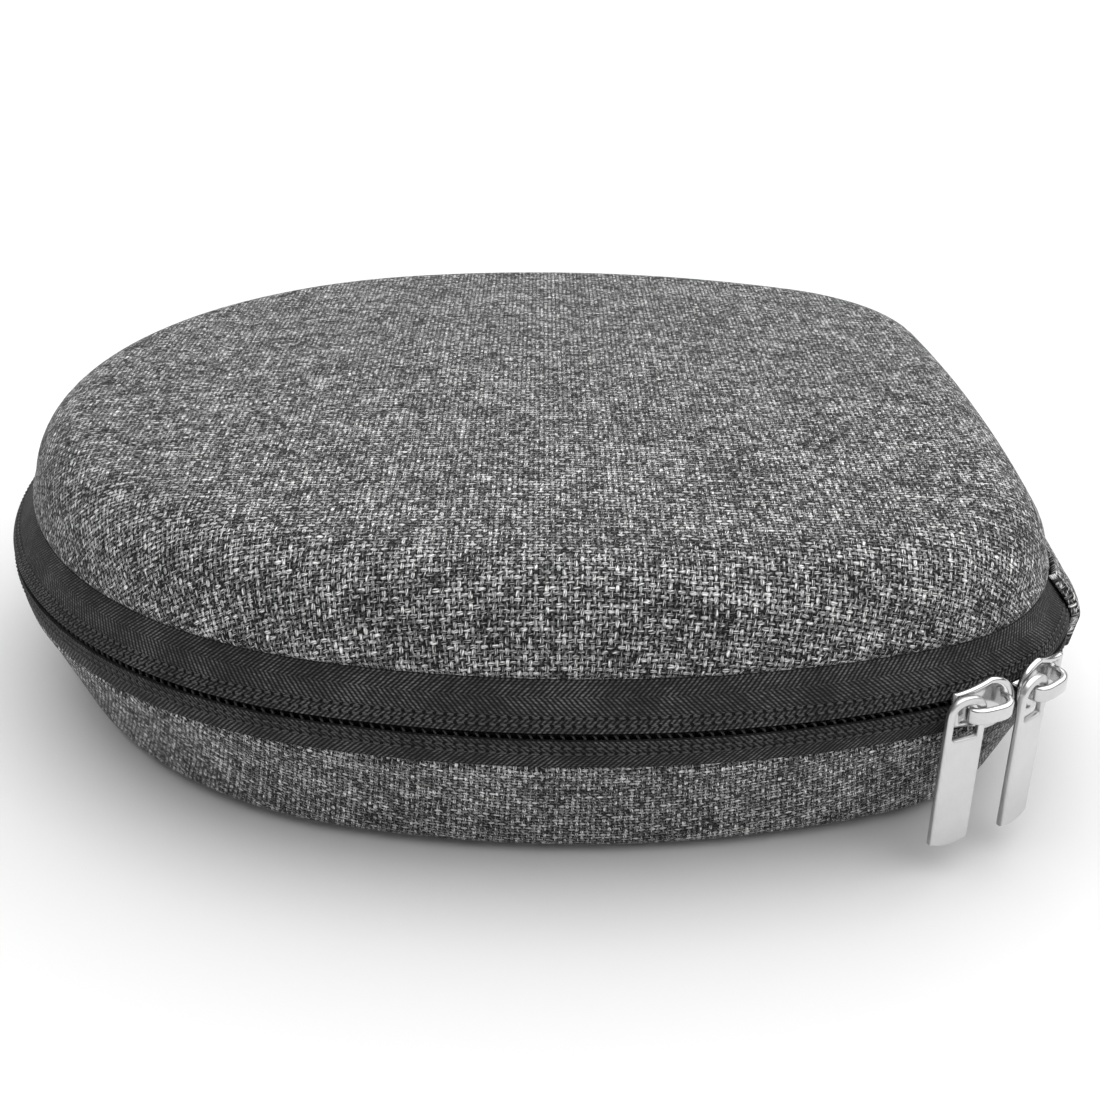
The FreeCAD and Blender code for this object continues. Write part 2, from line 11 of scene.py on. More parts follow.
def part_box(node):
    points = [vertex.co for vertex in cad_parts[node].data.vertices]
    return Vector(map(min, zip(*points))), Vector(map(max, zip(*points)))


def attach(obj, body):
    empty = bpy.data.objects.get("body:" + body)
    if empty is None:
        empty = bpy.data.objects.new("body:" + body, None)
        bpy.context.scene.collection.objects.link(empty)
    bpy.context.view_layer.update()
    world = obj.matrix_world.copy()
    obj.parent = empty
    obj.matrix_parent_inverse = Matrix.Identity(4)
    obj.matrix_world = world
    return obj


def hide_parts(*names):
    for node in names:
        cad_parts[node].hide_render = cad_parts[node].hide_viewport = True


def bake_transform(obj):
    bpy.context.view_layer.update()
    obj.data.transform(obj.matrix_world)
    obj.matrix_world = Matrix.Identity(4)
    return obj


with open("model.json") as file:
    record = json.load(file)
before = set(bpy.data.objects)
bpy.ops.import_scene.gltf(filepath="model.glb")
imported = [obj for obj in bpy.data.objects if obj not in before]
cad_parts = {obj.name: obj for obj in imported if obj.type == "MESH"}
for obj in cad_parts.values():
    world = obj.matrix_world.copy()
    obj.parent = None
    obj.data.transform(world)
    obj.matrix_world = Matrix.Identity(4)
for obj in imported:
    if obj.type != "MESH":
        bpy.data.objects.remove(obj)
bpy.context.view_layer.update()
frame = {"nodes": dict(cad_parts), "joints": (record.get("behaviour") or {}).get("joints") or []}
MM = 0.001

# ---------------------------------------------------------------- sizes, in millimetres, as in the design
ROUND_RADIUS = 91.5
SIDE_RADIUS = 181.0
CORNER_RADIUS = 44.0
BACK_RADIUS = 636.0
CROWN_RADIUS = 1475.0
LID_CREASE_INSET = 5.0
LID_DRAFT = math.radians(9.5)
LID_ROUND = 12.6
BASE_CREASE_INSET = 0.6
BASE_DRAFT = math.radians(22.0)
BASE_ROUND = 7.8
COVER = 0.8
FOAM = 3.6
LINING = 0.6
GLUE = 0.05
TAPE = 0.6
WALL = COVER + FOAM + LINING + 2 * GLUE
TAPE_HEM = 4.9          # width of tape that lies under each crease
TAPE_LIP = 0.75         # how far the tape's inner face stands back from its outer one
STRIP_HALF = 52.0
STRIP_GAP = 0.15
STRIP_HEM = 6.0         # length of hem at each end of the strip
INNER_STRIP_HALF = 40.0
ROLL = 0.7              # radius that the strip's ends turn under with
CHAIN_END = 42.0
YARN = 0.915            # pitch of the cover's weave
STITCH = 1.68           # pitch of the zip's stitches and of its coil
STITCH_ROWS = (1.2, 2.4)    # how far each row lies from the edge of its tape
STITCH_LENGTH = 1.05
THREAD_RADIUS = 0.17
STITCH_SINK = 0.02      # how far each stitch is drawn into the tape
EDGE_RISE = 0.72        # from the middle of the zip to the edge of either tape
COIL_IN = 1.62          # from the outline in to the middle of the coil
COIL_RISE = 1.25        # from the middle of the zip to the middle of either coil
FILAMENT_RADIUS = 0.27
BINDING_THICK = 0.7
BINDING_REACH = 4.5     # how far the binding climbs the lining
POCKET_MOUTH = -12.0    # y of the front edge of the net
ELASTIC_WIDTH = 8.0
NET_CELL = 2.4
NET_THREAD = 0.16

SLIDER = (12.0, 9.5, 6.4)           # length, width and tail width of the outer plate
INNER_PLATE = (10.8, 6.8, 5.4)
PLATE_LOW = 1.1                     # from the outline out to the outer plate
PLATE_THICK = 1.2
INNER_TOP = -4.5
INNER_THICK = 0.9
LEG_OFFSET = 3.6                    # from the slider's middle to the bail's leg
BAIL_STRAP = (2.85, 1.3)            # width and thickness
PULL_SIDE = 0.8
PULL_PLAY = 0.65
PULL_WIDTH = 7.4
PULL_TOP = 3.5
PULL_BOTTOM = -25.5
PULL_THICK = 1.2
PULL_EDGE = 0.4
WINDOW_HALF = 2.4
WINDOW_LENGTH = 6.2

SENSOR = 36.0
LENS = 47.0978
CAMERA_SHIFT = (0.012364, -0.042955)
CAMERA_RISE = math.radians(25.376)
CAMERA_ROLL = math.radians(0.524)
CAMERA_DISTANCE = 0.30919           # metres
CAMERA_TARGET = (0, 0.003262, 0.026684)
FLOOR_HALF = 6.0                    # metres

LOOP_STEPS = 10         # points on one turn of the coil
TUBE_SIDES = 6          # sides of a thread or filament
AROUND = 480            # points round the outline

tape_low, tape_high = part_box("lid_zip_tape")
lid_low, lid_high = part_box("lid_fabric_cover")
base_low, base_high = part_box("base_fabric_cover")
HALF_WIDTH = tape_high.x / MM
FRONT_Y = tape_low.y / MM
LENGTH = 206.0
TAPE_GAP = 1.0
ZIP_Z = (tape_low.z / MM) - TAPE_GAP / 2
LID_CREASE_Z = lid_low.z / MM
LID_TOP_Z = lid_high.z / MM
BASE_CREASE_Z = base_high.z / MM
SIDES = (("lid", 1, LID_CREASE_INSET, LID_CREASE_Z), ("base", -1, BASE_CREASE_INSET, BASE_CREASE_Z))


# ---------------------------------------------------------------- the zip outline
def direction(angle):
    return np.array([math.cos(angle), math.sin(angle)])


def outline_arcs():
    """The zip outline as (centre, radius, start, end), anticlockwise from the round end."""
    quarter = math.pi / 2
    back_y = FRONT_Y + LENGTH
    side_start = -math.acos((SIDE_RADIUS - HALF_WIDTH) / (SIDE_RADIUS - ROUND_RADIUS))
    round_c = np.array([0.0, FRONT_Y + ROUND_RADIUS])
    side_c = round_c - direction(side_start) * (SIDE_RADIUS - ROUND_RADIUS)
    back_c = np.array([0.0, back_y - BACK_RADIUS])
    gap = back_c - side_c
    span = np.linalg.norm(gap)
    side_reach, back_reach = SIDE_RADIUS - CORNER_RADIUS, BACK_RADIUS - CORNER_RADIUS
    along = (span ** 2 + side_reach ** 2 - back_reach ** 2) / (2 * span)
    across = math.sqrt(side_reach ** 2 - along ** 2)
    unit = gap / span
    corner_c = side_c + unit * along + np.array([-unit[1], unit[0]]) * across
    corner_start = math.atan2(*(corner_c - side_c)[::-1])
    corner_end = math.atan2(*(corner_c - back_c)[::-1])
    right = [(round_c, ROUND_RADIUS, -quarter, side_start),
             (side_c, SIDE_RADIUS, side_start, corner_start),
             (corner_c, CORNER_RADIUS, corner_start, corner_end),
             (back_c, BACK_RADIUS, corner_end, quarter)]
    left = [(np.array([-c[0], c[1]]), r, math.pi - b, math.pi - a) for c, r, a, b in reversed(right)]
    return right + left


ARCS = outline_arcs()
ARC_LENGTHS = [r * (b - a) for _, r, a, b in ARCS]
PERIMETER = sum(ARC_LENGTHS)


def on_outline(distance):
    """Point and outward normal of the outline, at a distance from the middle of the back, anticlockwise."""
    distance = (distance + PERIMETER / 2) % PERIMETER
    for (centre, radius, start, _), length in zip(ARCS, ARC_LENGTHS):
        if distance <= length:
            normal = direction(start + distance / radius)
            return centre + normal * radius, normal
        distance -= length
    centre, radius, _, end = ARCS[-1]
    return centre + direction(end) * radius, direction(end)


def stations(count, start=0.0, stop=None):
    """Distances, points and normals of evenly spaced stations along the outline."""
    closed = stop is None
    stop = PERIMETER if closed else stop
    distances = np.linspace(start, stop, count, endpoint=not closed)
    found = [on_outline(d) for d in distances]
    return distances, np.array([p for p, _ in found]), np.array([n for _, n in found])


def distance_at_back(x):
    """How far along the outline from the middle of the back the point with this |x| on the back lies."""
    low, high = 0.0, 90.0
    for _ in range(40):
        middle = (low + high) / 2
        if abs(on_outline(middle)[0][0]) < x:
            low = middle
        else:
            high = middle
    return low


# ---------------------------------------------------------------- mesh helpers
def mesh_object(name, points, faces, uvs=None, smooth=True):
    """Object from points in millimetres; uvs is one pair per point."""
    mesh = bpy.data.meshes.new(name)
    mesh.from_pydata((np.asarray(points) * MM).tolist(), [], faces)
    if uvs is not None:
        layer = mesh.uv_layers.new(name="UVMap")
        loops = np.zeros(len(mesh.loops), np.int32)
        mesh.loops.foreach_get("vertex_index", loops)
        layer.data.foreach_set("uv", np.asarray(uvs, np.float32)[loops].ravel())
    if smooth:
        mesh.polygons.foreach_set("use_smooth", [True] * len(mesh.polygons))
    mesh.update()
    thing = bpy.data.objects.new(name, mesh)
    bpy.context.scene.collection.objects.link(thing)
    return thing


def grid_faces(rows, columns, close_rows=False, close_columns=False, first=0):
    """Quads of a grid whose point (row, column) has the index first + row * columns + column."""
    faces = []
    for r in range(rows if close_rows else rows - 1):
        for c in range(columns if close_columns else columns - 1):
            a = first + r * columns + c
            b = first + r * columns + (c + 1) % columns
            d = first + ((r + 1) % rows) * columns + c
            e = first + ((r + 1) % rows) * columns + (c + 1) % columns
            faces.append((a, b, e, d))
    return faces


def tube_faces(rings, sides, first=0):
    """Faces of a closed tube whose point (ring, side) has the index first + ring * sides + side."""
    faces = grid_faces(rings, sides, close_columns=True, first=first)
    faces.append(tuple(reversed(range(first, first + sides))))
    faces.append(tuple(range(first + (rings - 1) * sides, first + rings * sides)))
    return faces


def straight(start, end, count):
    """Points from a start to an end, both given as (out, height)."""
    return [(start[0] + (end[0] - start[0]) * k / count, start[1] + (end[1] - start[1]) * k / count)
            for k in range(count + 1)]


def quarter_turn(x, y, radius, start, steps):
    """Points on a quarter of a circle about (x, y), from an angle in degrees."""
    turns = [math.radians(start + 90 * k / steps) for k in range(steps + 1)]
    return [(x + radius * math.cos(turn), y + radius * math.sin(turn)) for turn in turns]


def thicken(thing, thickness, offset=-1.0):
    """Give a sheet its thickness, towards its inside."""
    solid = thing.modifiers.new("thickness", "SOLIDIFY")
    solid.thickness = thickness * MM
    solid.offset = offset
    solid.use_even_offset = False
    apply_modifiers(thing)


def apply_modifiers(thing):
    """Bake the object's modifiers into its mesh."""
    graph = bpy.context.evaluated_depsgraph_get()
    graph.update()
    mesh = bpy.data.meshes.new_from_object(thing.evaluated_get(graph), depsgraph=graph)
    thing.modifiers.clear()
    thing.data = mesh


def finish_piece(thing, material, body, slot_name, *nodes):
    """Material, body and the CAD nodes that the piece stands for; slot_name is not used."""
    thing.data.materials.clear()
    thing.data.materials.append(material)
    if body is not None:
        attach(thing, body)
    if nodes:
        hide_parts(*nodes)
    return thing


# ---------------------------------------------------------------- node helpers
class Nodes:
    """Short names for building a material's node tree."""

    def __init__(self, name):
        self.material = bpy.data.materials.new(name)
        self.material.use_nodes = True
        self.tree = self.material.node_tree
        self.shader = self.tree.nodes["Principled BSDF"]

    def new(self, kind, **settings):
        node = self.tree.nodes.new(kind)
        for key, value in settings.items():
            setattr(node, key, value)
        return node

    def link(self, source, target):
        self.tree.links.new(source, target)

    def put(self, socket, value):
        if isinstance(value, (int, float, tuple)):
            socket.default_value = value
        else:
            self.link(value, socket)

    def math(self, operation, first, second=0.0, third=0.0, clamp=False):
        node = self.new("ShaderNodeMath", operation=operation, use_clamp=clamp)
        for socket, value in zip(node.inputs, (first, second, third)):
            self.put(socket, value)
        return node.outputs[0]

    def add(self, first, second):
        return self.math("ADD", first, second)

    def sub(self, first, second, clamp=False):
        return self.math("SUBTRACT", first, second, clamp=clamp)

    def mul(self, first, second):
        return self.math("MULTIPLY", first, second)

    def div(self, first, second):
        return self.math("DIVIDE", first, second)

    def mul_add(self, first, second, third):
        return self.math("MULTIPLY_ADD", first, second, third)

    def mix_value(self, factor, first, second):
        node = self.new("ShaderNodeMix", data_type="FLOAT")
        self.put(node.inputs[0], factor)
        self.put(node.inputs[2], first)
        self.put(node.inputs[3], second)
        return node.outputs[0]

    def mix_colour(self, factor, first, second):
        node = self.new("ShaderNodeMix", data_type="RGBA")
        self.put(node.inputs[0], factor)
        self.put(node.inputs[6], first)
        self.put(node.inputs[7], second)
        return node.outputs[2]

    def join(self, x, y, z=0.0):
        node = self.new("ShaderNodeCombineXYZ")
        for socket, value in zip(node.inputs, (x, y, z)):
            self.put(socket, value)
        return node.outputs[0]

    def noise(self, vector, scale, detail=2.0, roughness=0.5):
        node = self.new("ShaderNodeTexNoise", noise_dimensions="3D")
        self.put(node.inputs["Vector"], vector)
        node.inputs["Scale"].default_value = scale
        node.inputs["Detail"].default_value = detail
        node.inputs["Roughness"].default_value = roughness
        return node.outputs["Fac"]

    def random(self, vector):
        node = self.new("ShaderNodeTexWhiteNoise", noise_dimensions="3D")
        self.put(node.inputs["Vector"], vector)
        return node.outputs["Value"]

    def ramp(self, value, *stops):
        node = self.new("ShaderNodeValToRGB")
        self.put(node.inputs[0], value)
        elements = node.color_ramp.elements
        while len(elements) < len(stops):
            elements.new(0.5)
        for element, (place, colour) in zip(elements, stops):
            element.position = place
            element.color = (*colour, 1.0)
        return node.outputs[0]

    def curve(self, value, low, high):
        """0 at low and 1 at high, with a smooth step between them."""
        node = self.new("ShaderNodeMapRange", interpolation_type="SMOOTHSTEP")
        self.put(node.inputs[0], value)
        for socket, number in zip(node.inputs[1:3], (low, high)):
            self.put(socket, number)
        return node.outputs[0]

    def uv(self):
        node = self.new("ShaderNodeUVMap", uv_map="UVMap")
        parts = self.new("ShaderNodeSeparateXYZ")
        self.link(node.outputs[0], parts.inputs[0])
        return parts.outputs[0], parts.outputs[1]

    def place(self):
        return self.new("ShaderNodeTexCoord").outputs["Object"]

    def bump(self, height, distance, strength=1.0):
        node = self.new("ShaderNodeBump")
        node.inputs["Strength"].default_value = strength
        node.inputs["Distance"].default_value = distance
        self.put(node.inputs["Height"], height)
        self.link(node.outputs[0], self.shader.inputs["Normal"])

    def finish(self, colour, roughness, **fixed):
        self.put(self.shader.inputs["Base Color"], colour)
        self.put(self.shader.inputs["Roughness"], roughness)
        for key, value in fixed.items():
            self.shader.inputs[key.replace("_", " ")].default_value = value
        return self.material


def grey(level):
    return (level, level, level, 1.0)


def melange_material():
    """Plain weave of thick marled yarns, dark with light flecks; one yarn every YARN millimetres.

    Columns run along v and rows along u. Each yarn rises over every second one it crosses, so the higher of
    the two heights at a point is the yarn that shows there.
    """
    n = Nodes("melange_weave")
    u, v = n.uv()
    pitch = YARN * MM
    sway_u = n.sub(n.noise(n.join(u, v), 230.0, 2.0), 0.5)
    sway_v = n.sub(n.noise(n.join(v, u, 0.37), 230.0, 2.0), 0.5)
    across = n.mul_add(sway_u, 0.6, n.div(u, pitch))
    along = n.mul_add(sway_v, 0.6, n.div(v, pitch))
    column, row = n.math("FLOOR", across), n.math("FLOOR", along)
    from_column = n.sub(n.math("FRACT", across), 0.5)
    from_row = n.sub(n.math("FRACT", along), 0.5)
    odd = n.math("MODULO", n.add(n.add(column, row), 4000.0), 2.0)
    sign = n.mul_add(odd, -2.0, 1.0)

    def yarn(index, side, run, place, up, seed):
        """Height, light side to side, and tone of one set of yarns."""
        slub = n.noise(n.join(n.mul(place, 0.21), n.mul(index, 7.31), seed), 1.0, 2.0)
        half = n.mul_add(n.sub(slub, 0.5), 0.14, 0.345)
        ratio = n.div(side, half)
        inside = n.sub(1.0, n.mul(ratio, ratio), clamp=True)
        wave = n.mul(n.math("COSINE", n.mul(run, math.pi)), up)
        height = n.mul_add(n.math("SQRT", inside), 0.62, n.mul(wave, 0.5))
        height = n.sub(height, n.math("LESS_THAN", inside, 0.001))
        return height, slub

    up_height, up_slub = yarn(column, from_column, from_row, along, sign, 3.0)
    cross_height, cross_slub = yarn(row, from_row, from_column, across, n.mul(sign, -1.0), 11.0)
    shows = n.math("GREATER_THAN", up_height, cross_height)
    height = n.math("MAXIMUM", up_height, cross_height)
    side = n.mix_value(shows, from_row, from_column)
    place = n.mix_value(shows, across, along)
    index = n.mix_value(shows, n.add(row, 511.0), column)
    other = n.mix_value(shows, row, column)
    half_turn = n.mul(n.sub(place, other), 0.5)
    float_index = n.math("FLOOR", n.mul_add(shows, 0.5, n.add(half_turn, -0.25)))
    slub = n.mix_value(shows, cross_slub, up_slub)
    tone_float = n.random(n.join(float_index, index, 5.0))
    ply = n.noise(n.join(n.mul(place, 0.9), n.mul_add(place, 0.8,
                  n.mul(side, 6.4)), n.mul(index, 3.7)), 1.0, 1.0)
    cloud = n.noise(n.join(u, n.mul(v, 0.30)), 210.0, 2.0)
    tone = n.mul(slub, 0.55)
    tone = n.mul_add(tone_float, 0.22, n.add(tone, 0.09))
    tone = n.mul_add(n.sub(ply, 0.5), 1.45, tone)
    tone = n.mul_add(n.sub(cloud, 0.5), 0.22, tone)
    colour = n.ramp(tone, (0.22, (0.007, 0.007, 0.007)), (0.37, (0.040, 0.040, 0.041)),
                    (0.50, (0.150, 0.150, 0.152)), (0.62, (0.40, 0.40, 0.40)), (0.80, (0.88, 0.88, 0.87)))
    # painted shade: each yarn is painted darker down its sides and where it dives under the crossing yarn, and
    # near black in the gaps between yarns
    deep = n.curve(height, 0.05, 0.85)
    colour = n.mix_colour(deep, grey(0.003), colour)
    fuzz = n.noise(n.place(), 9000.0, 1.0)
    relief = n.mul_add(ply, 0.22, n.math("MAXIMUM", height, -0.3))
    relief = n.mul_add(fuzz, 0.05, relief)
    n.bump(relief, 0.00022, 0.8)
    return n.finish(colour, 0.75, Sheen_Weight=0.02, Sheen_Roughness=0.45, Specular_IOR_Level=0.14)


def tape_material():
    """Charcoal herringbone tape: u runs along the tape from its end, v across it from the zip edge."""
    n = Nodes("herringbone_tape")
    u, v = n.uv()
    column = n.div(v, 0.0028)
    side = n.math("MODULO", n.add(n.math("FLOOR", column), 100.0), 2.0)
    slope = n.mul_add(side, 2.0, -1.0)
    sway = n.mul(n.sub(n.noise(n.join(u, v), 700.0, 2.0), 0.5), 0.00045)
    lean = n.add(n.mul(v, slope), sway)
    rib_place = n.div(n.add(u, lean), 0.00088)
    rib = n.math("FRACT", rib_place)
    rib_height = n.math("SINE", n.mul(rib, math.pi))
    # each rib is a row of short floats laid across it
    float_place = n.div(v, 0.00042)
    float_edge = n.math("SINE", n.mul(n.math("FRACT", float_place), math.pi))
    tone = n.random(n.join(n.math("FLOOR", rib_place), n.math("FLOOR", float_place), slope))
    height = n.mul(n.math("POWER", rib_height, 1.1), n.math("POWER", float_edge, 0.22))
    along = n.math("ABSOLUTE", n.sub(n.math("FRACT", n.div(u, STITCH * MM)), 0.5))
    shaded_holes = None
    for row in STITCH_ROWS:
        off = n.div(n.sub(v, row * MM), 0.00030)
        distance = n.add(n.math("POWER", n.math("ABSOLUTE", off), 2.0),
                          n.math("POWER", n.div(along, 0.19), 2.0))
        shaded_hole = n.curve(distance, 1.3, 0.4)
        shaded_holes = shaded_hole if shaded_holes is None else n.math("MAXIMUM", shaded_holes, shaded_hole)
    patch = n.noise(n.place(), 140.0, 3.0)
    # painted light: the colour follows the height of the ribs and floats, a painted highlight on their crests
    # and painted shade in the grooves between them; tone and patch vary at random
    level = n.mul(height, n.mul_add(tone, 0.25, 0.75))
    level = n.mul(level, n.mul_add(patch, 0.9, 0.55))
    colour = n.ramp(level, (0.0, (0.003, 0.003, 0.003)), (0.40, (0.012, 0.012, 0.012)),
                    (0.75, (0.050, 0.050, 0.051)), (1.0, (0.125, 0.125, 0.127)))
    # painted shade: the needle holes of both stitch rows are painted near black, as shade inside them; the same
    # mask also sinks them in the bump
    colour = n.mix_colour(shaded_holes, colour, grey(0.002))
    n.bump(n.sub(height, n.mul(shaded_holes, 2.5)), 0.00012, 0.9)
    return n.finish(colour, 0.66, Sheen_Weight=0.01, Sheen_Roughness=0.5, Specular_IOR_Level=0.12)


def thread_material(name, low, high):
    """Twisted sewing thread or monofilament between two shades."""
    n = Nodes(name)
    place = n.place()
    twist = n.noise(place, 2600.0, 2.0)
    tone = n.noise(place, 120.0, 1.0)
    colour = n.mix_colour(n.mul_add(twist, 0.6, n.mul(tone, 0.4)), grey(low), grey(high))
    n.bump(twist, 0.00004, 0.6)
    return n.finish(colour, 0.55, Specular_IOR_Level=0.4)


def coil_material():
    n = Nodes("nylon_coil")
    place = n.place()
    scuff = n.noise(place, 900.0, 3.0)
    colour = n.mix_colour(scuff, grey(0.010), grey(0.055))
    n.bump(scuff, 0.00002, 0.4)
    return n.finish(colour, n.mul_add(scuff, 0.3, 0.28), Specular_IOR_Level=0.55)


def foam_material():
    n = Nodes("closed_cell_foam")
    place = n.place()
    cells = n.new("ShaderNodeTexVoronoi", feature="DISTANCE_TO_EDGE")
    cells.inputs["Scale"].default_value = 2200.0
    n.link(place, cells.inputs["Vector"])
    tone = n.noise(place, 400.0, 3.0)
    colour = n.mix_colour(tone, grey(0.020), grey(0.045))
    n.bump(cells.outputs["Distance"], 0.00012, 0.8)
    return n.finish(colour, 0.85, Specular_IOR_Level=0.25)


def lining_material():
    """Short brushed knit: fine rows of loops under a soft nap."""
    n = Nodes("brushed_lining")
    u, v = n.uv()
    rows = n.math("SINE", n.mul(v, 2 * math.pi / 0.0011))
    wales = n.math("SINE", n.mul_add(rows, 0.9, n.mul(u, 2 * math.pi / 0.0009)))
    place = n.place()
    nap = n.noise(place, 1500.0, 4.0, 0.65)
    patch = n.noise(place, 45.0, 3.0)
    knit = n.mul_add(n.mul(rows, wales), 0.25, nap)
    level = n.mul_add(knit, 0.7, n.mul(patch, 0.4))
    colour = n.ramp(level, (0.15, (0.008, 0.008, 0.009)), (0.6, (0.028, 0.028, 0.030)),
                    (0.95, (0.075, 0.075, 0.078)))
    n.bump(knit, 0.00022, 0.8)
    return n.finish(colour, 0.95, Sheen_Weight=0.35, Sheen_Roughness=0.4, Specular_IOR_Level=0.15)


def ribbed_material(name, rib, low, high, depth):
    """Ribbed tape: ribs across its length, u along it."""
    n = Nodes(name)
    u, v = n.uv()
    ribs = n.math("SINE", n.mul(u, 2 * math.pi / rib))
    picks = n.math("SINE", n.mul_add(ribs, 1.2, n.mul(v, 2 * math.pi / (rib * 0.8))))
    patch = n.noise(n.place(), 260.0, 3.0)
    relief = n.mul_add(picks, 0.25, n.mul(ribs, 0.6))
    level = n.mul_add(relief, 0.3, n.mul_add(patch, 0.5, 0.25))
    colour = n.mix_colour(n.curve(level, 0.0, 1.0), grey(low), grey(high))
    n.bump(relief, depth, 0.8)
    return n.finish(colour, 0.8, Sheen_Weight=0.12, Sheen_Roughness=0.4, Specular_IOR_Level=0.3)


def metal_material(name, colour_low, colour_high, rough_low, rough_high, grain):
    """Plated zinc: fine polishing marks, faint waviness and smudges."""
    n = Nodes(name)
    place = n.place()
    smudge = n.noise(place, 160.0, 3.0, 0.6)
    fine = n.noise(place, grain, 3.0, 0.7)
    tone = n.mul_add(fine, 0.4, n.mul(smudge, 0.6))
    colour = n.mix_colour(tone, grey(colour_low), grey(colour_high))
    rough = n.mix_value(tone, rough_low, rough_high)
    n.bump(n.mul_add(fine, 0.35, n.mul(smudge, 1.4)), 0.00005, 0.35)
    return n.finish(colour, rough, Metallic=1.0)


MELANGE = melange_material()
TAPE_CLOTH = tape_material()
THREAD = thread_material("sewing_thread", 0.020, 0.075)
COIL = coil_material()
CORD = thread_material("filler_cord", 0.015, 0.040)
FOAM_CELLS = foam_material()
LINING_KNIT = lining_material()
BINDING = ribbed_material("ribbed_binding", 0.0009, 0.012, 0.055, 0.00012)
ELASTIC = ribbed_material("ribbed_elastic", 0.0016, 0.010, 0.060, 0.00025)
NET = thread_material("net_yarn", 0.012, 0.040)
CHROME = metal_material("bright_plate", 0.48, 0.74, 0.10, 0.22, 1400.0)
SATIN = metal_material("satin_plate", 0.52, 0.72, 0.24, 0.36, 3500.0)


# ---------------------------------------------------------------- moulded walls
def lid_rows(point, depth):
    """Inset and height pairs of the lid wall at one station, from the crown edge down, then the crease."""
    radius = LID_ROUND - depth
    foot = LID_CREASE_INSET + depth / math.cos(LID_DRAFT)
    edge_reach = np.linalg.norm(point) - 18.0
    top = LID_TOP_Z - depth - edge_reach ** 2 / (2 * CROWN_RADIUS)
    lean = edge_reach / CROWN_RADIUS
    centre_z = top - radius * math.cos(lean)
    centre_in = foot + (centre_z - LID_CREASE_Z) * math.tan(LID_DRAFT) + radius / math.cos(LID_DRAFT)
    rows = []
    for step in range(13):
        turn = math.pi / 2 - lean - (math.pi / 2 - lean - LID_DRAFT) * step / 12
        rows.append((centre_in - radius * math.cos(turn), centre_z + radius * math.sin(turn)))
    low = rows[-1][1]
    for step in range(1, 9):
        height = low + (LID_CREASE_Z - low) * step / 8
        rows.append((foot + (height - LID_CREASE_Z) * math.tan(LID_DRAFT), height))
    return rows


def base_rows(_, depth):
    """Inset and height pairs of the base wall, alike at every station, from the flat bottom's edge up."""
    radius = BASE_ROUND - depth
    foot = BASE_CREASE_INSET + depth / math.cos(BASE_DRAFT)
    centre_z = depth + radius
    centre_in = foot + (BASE_CREASE_Z - centre_z) * math.tan(BASE_DRAFT) + radius / math.cos(BASE_DRAFT)
    rows = []
    for step in range(11):
        turn = math.pi / 2 - (math.pi / 2 - BASE_DRAFT) * step / 10
        rows.append((centre_in - radius * math.cos(turn), centre_z - radius * math.sin(turn)))
    low = rows[-1][1]
    for step in range(1, 15):
        height = low + (BASE_CREASE_Z - low) * step / 14
        rows.append((foot + (BASE_CREASE_Z - height) * math.tan(BASE_DRAFT), height))
    return rows


def swell(rows, crease, up, amount, tuck):
    """Let the cloth bulge over its crease and turn in under it."""
    swollen = []
    for inset, height in rows:
        rise = (height - crease) * up
        out = amount * math.exp(-((rise - 1.9) / 1.5) ** 2)
        swollen.append((inset - out, height))
    inset = swollen[-1][0]
    swollen[-1] = (inset + tuck * 0.25, crease)
    swollen.append((inset + tuck * 0.7, crease - 0.22 * up))
    swollen.append((inset + tuck, crease - 0.05 * up))
    return swollen


def shell_surface(name, side, depth, cloth_edge=None, rings=22):
    """One whole surface of the lid or base wall with the place of every point in the flat cloth."""
    make_rows = lid_rows if side == "lid" else base_rows
    _, points, normals = stations(AROUND)
    wall = []
    for point in points:
        rows = make_rows(point, depth)
        if cloth_edge:
            up = 1 if side == "lid" else -1
            crease = LID_CREASE_Z if side == "lid" else BASE_CREASE_Z
            rows = swell(rows, crease, up, *cloth_edge)
        wall.append(rows)
    places, flats = [], []
    edge = np.array([p - n * rows[0][0] for p, n, rows in zip(points, normals, wall)])
    for ring in range(1, rings):
        share = ring / rings
        for x, y in edge * share:
            places.append((x, y, flat_height(side, depth, x, y)))
            flats.append((x, y))
    reach = np.zeros(AROUND)
    for row in range(len(wall[0])):
        for k in range(AROUND):
            inset, height = wall[k][row]
            if row:
                before = wall[k][row - 1]
                reach[k] += math.hypot(inset - before[0], height - before[1])
            x, y = points[k] - normals[k] * inset
            places.append((x, y, height))
            flats.append(edge[k] + normals[k] * reach[k])
    count = rings - 1 + len(wall[0])
    faces = grid_faces(count, AROUND, close_columns=True)
    centre = len(places)
    places.append((0, 0, flat_height(side, depth, 0, 0)))
    flats.append((0, 0))
    faces += [(k, (k + 1) % AROUND, centre) for k in range(AROUND)]
    if side == "lid":
        faces = [tuple(reversed(f)) for f in faces]
    return mesh_object(name, places, faces, np.array(flats) * MM)


def flat_height(side, depth, x, y):
    if side == "lid":
        return LID_TOP_Z - depth - (x * x + y * y) / (2 * CROWN_RADIUS)
    return depth


def consistent(thing):
    """Make every face point the same way, out of the piece."""
    form = bmesh.new()
    form.from_mesh(thing.data)
    bmesh.ops.recalc_face_normals(form, faces=form.faces)
    form.to_mesh(thing.data)
    form.free()


def cloth_wall(name, side, depth, thickness, cloth_edge, material, slot_name, node):
    """Cloth moulded over, or glued inside, a shell."""
    thing = shell_surface(name, side, depth, cloth_edge)
    consistent(thing)
    outward_test(thing, side)
    thicken(thing, thickness)
    finish_piece(thing, material, side, slot_name, node)


def outward_test(thing, side):
    """The middle of an outer surface looks up on the lid and down on the base; turn the faces if not."""
    middle = min(thing.data.polygons, key=lambda f: f.center.x ** 2 + f.center.y ** 2)
    wanted = 1 if side == "lid" else -1
    if middle.normal.z * wanted < 0:
        thing.data.flip_normals()


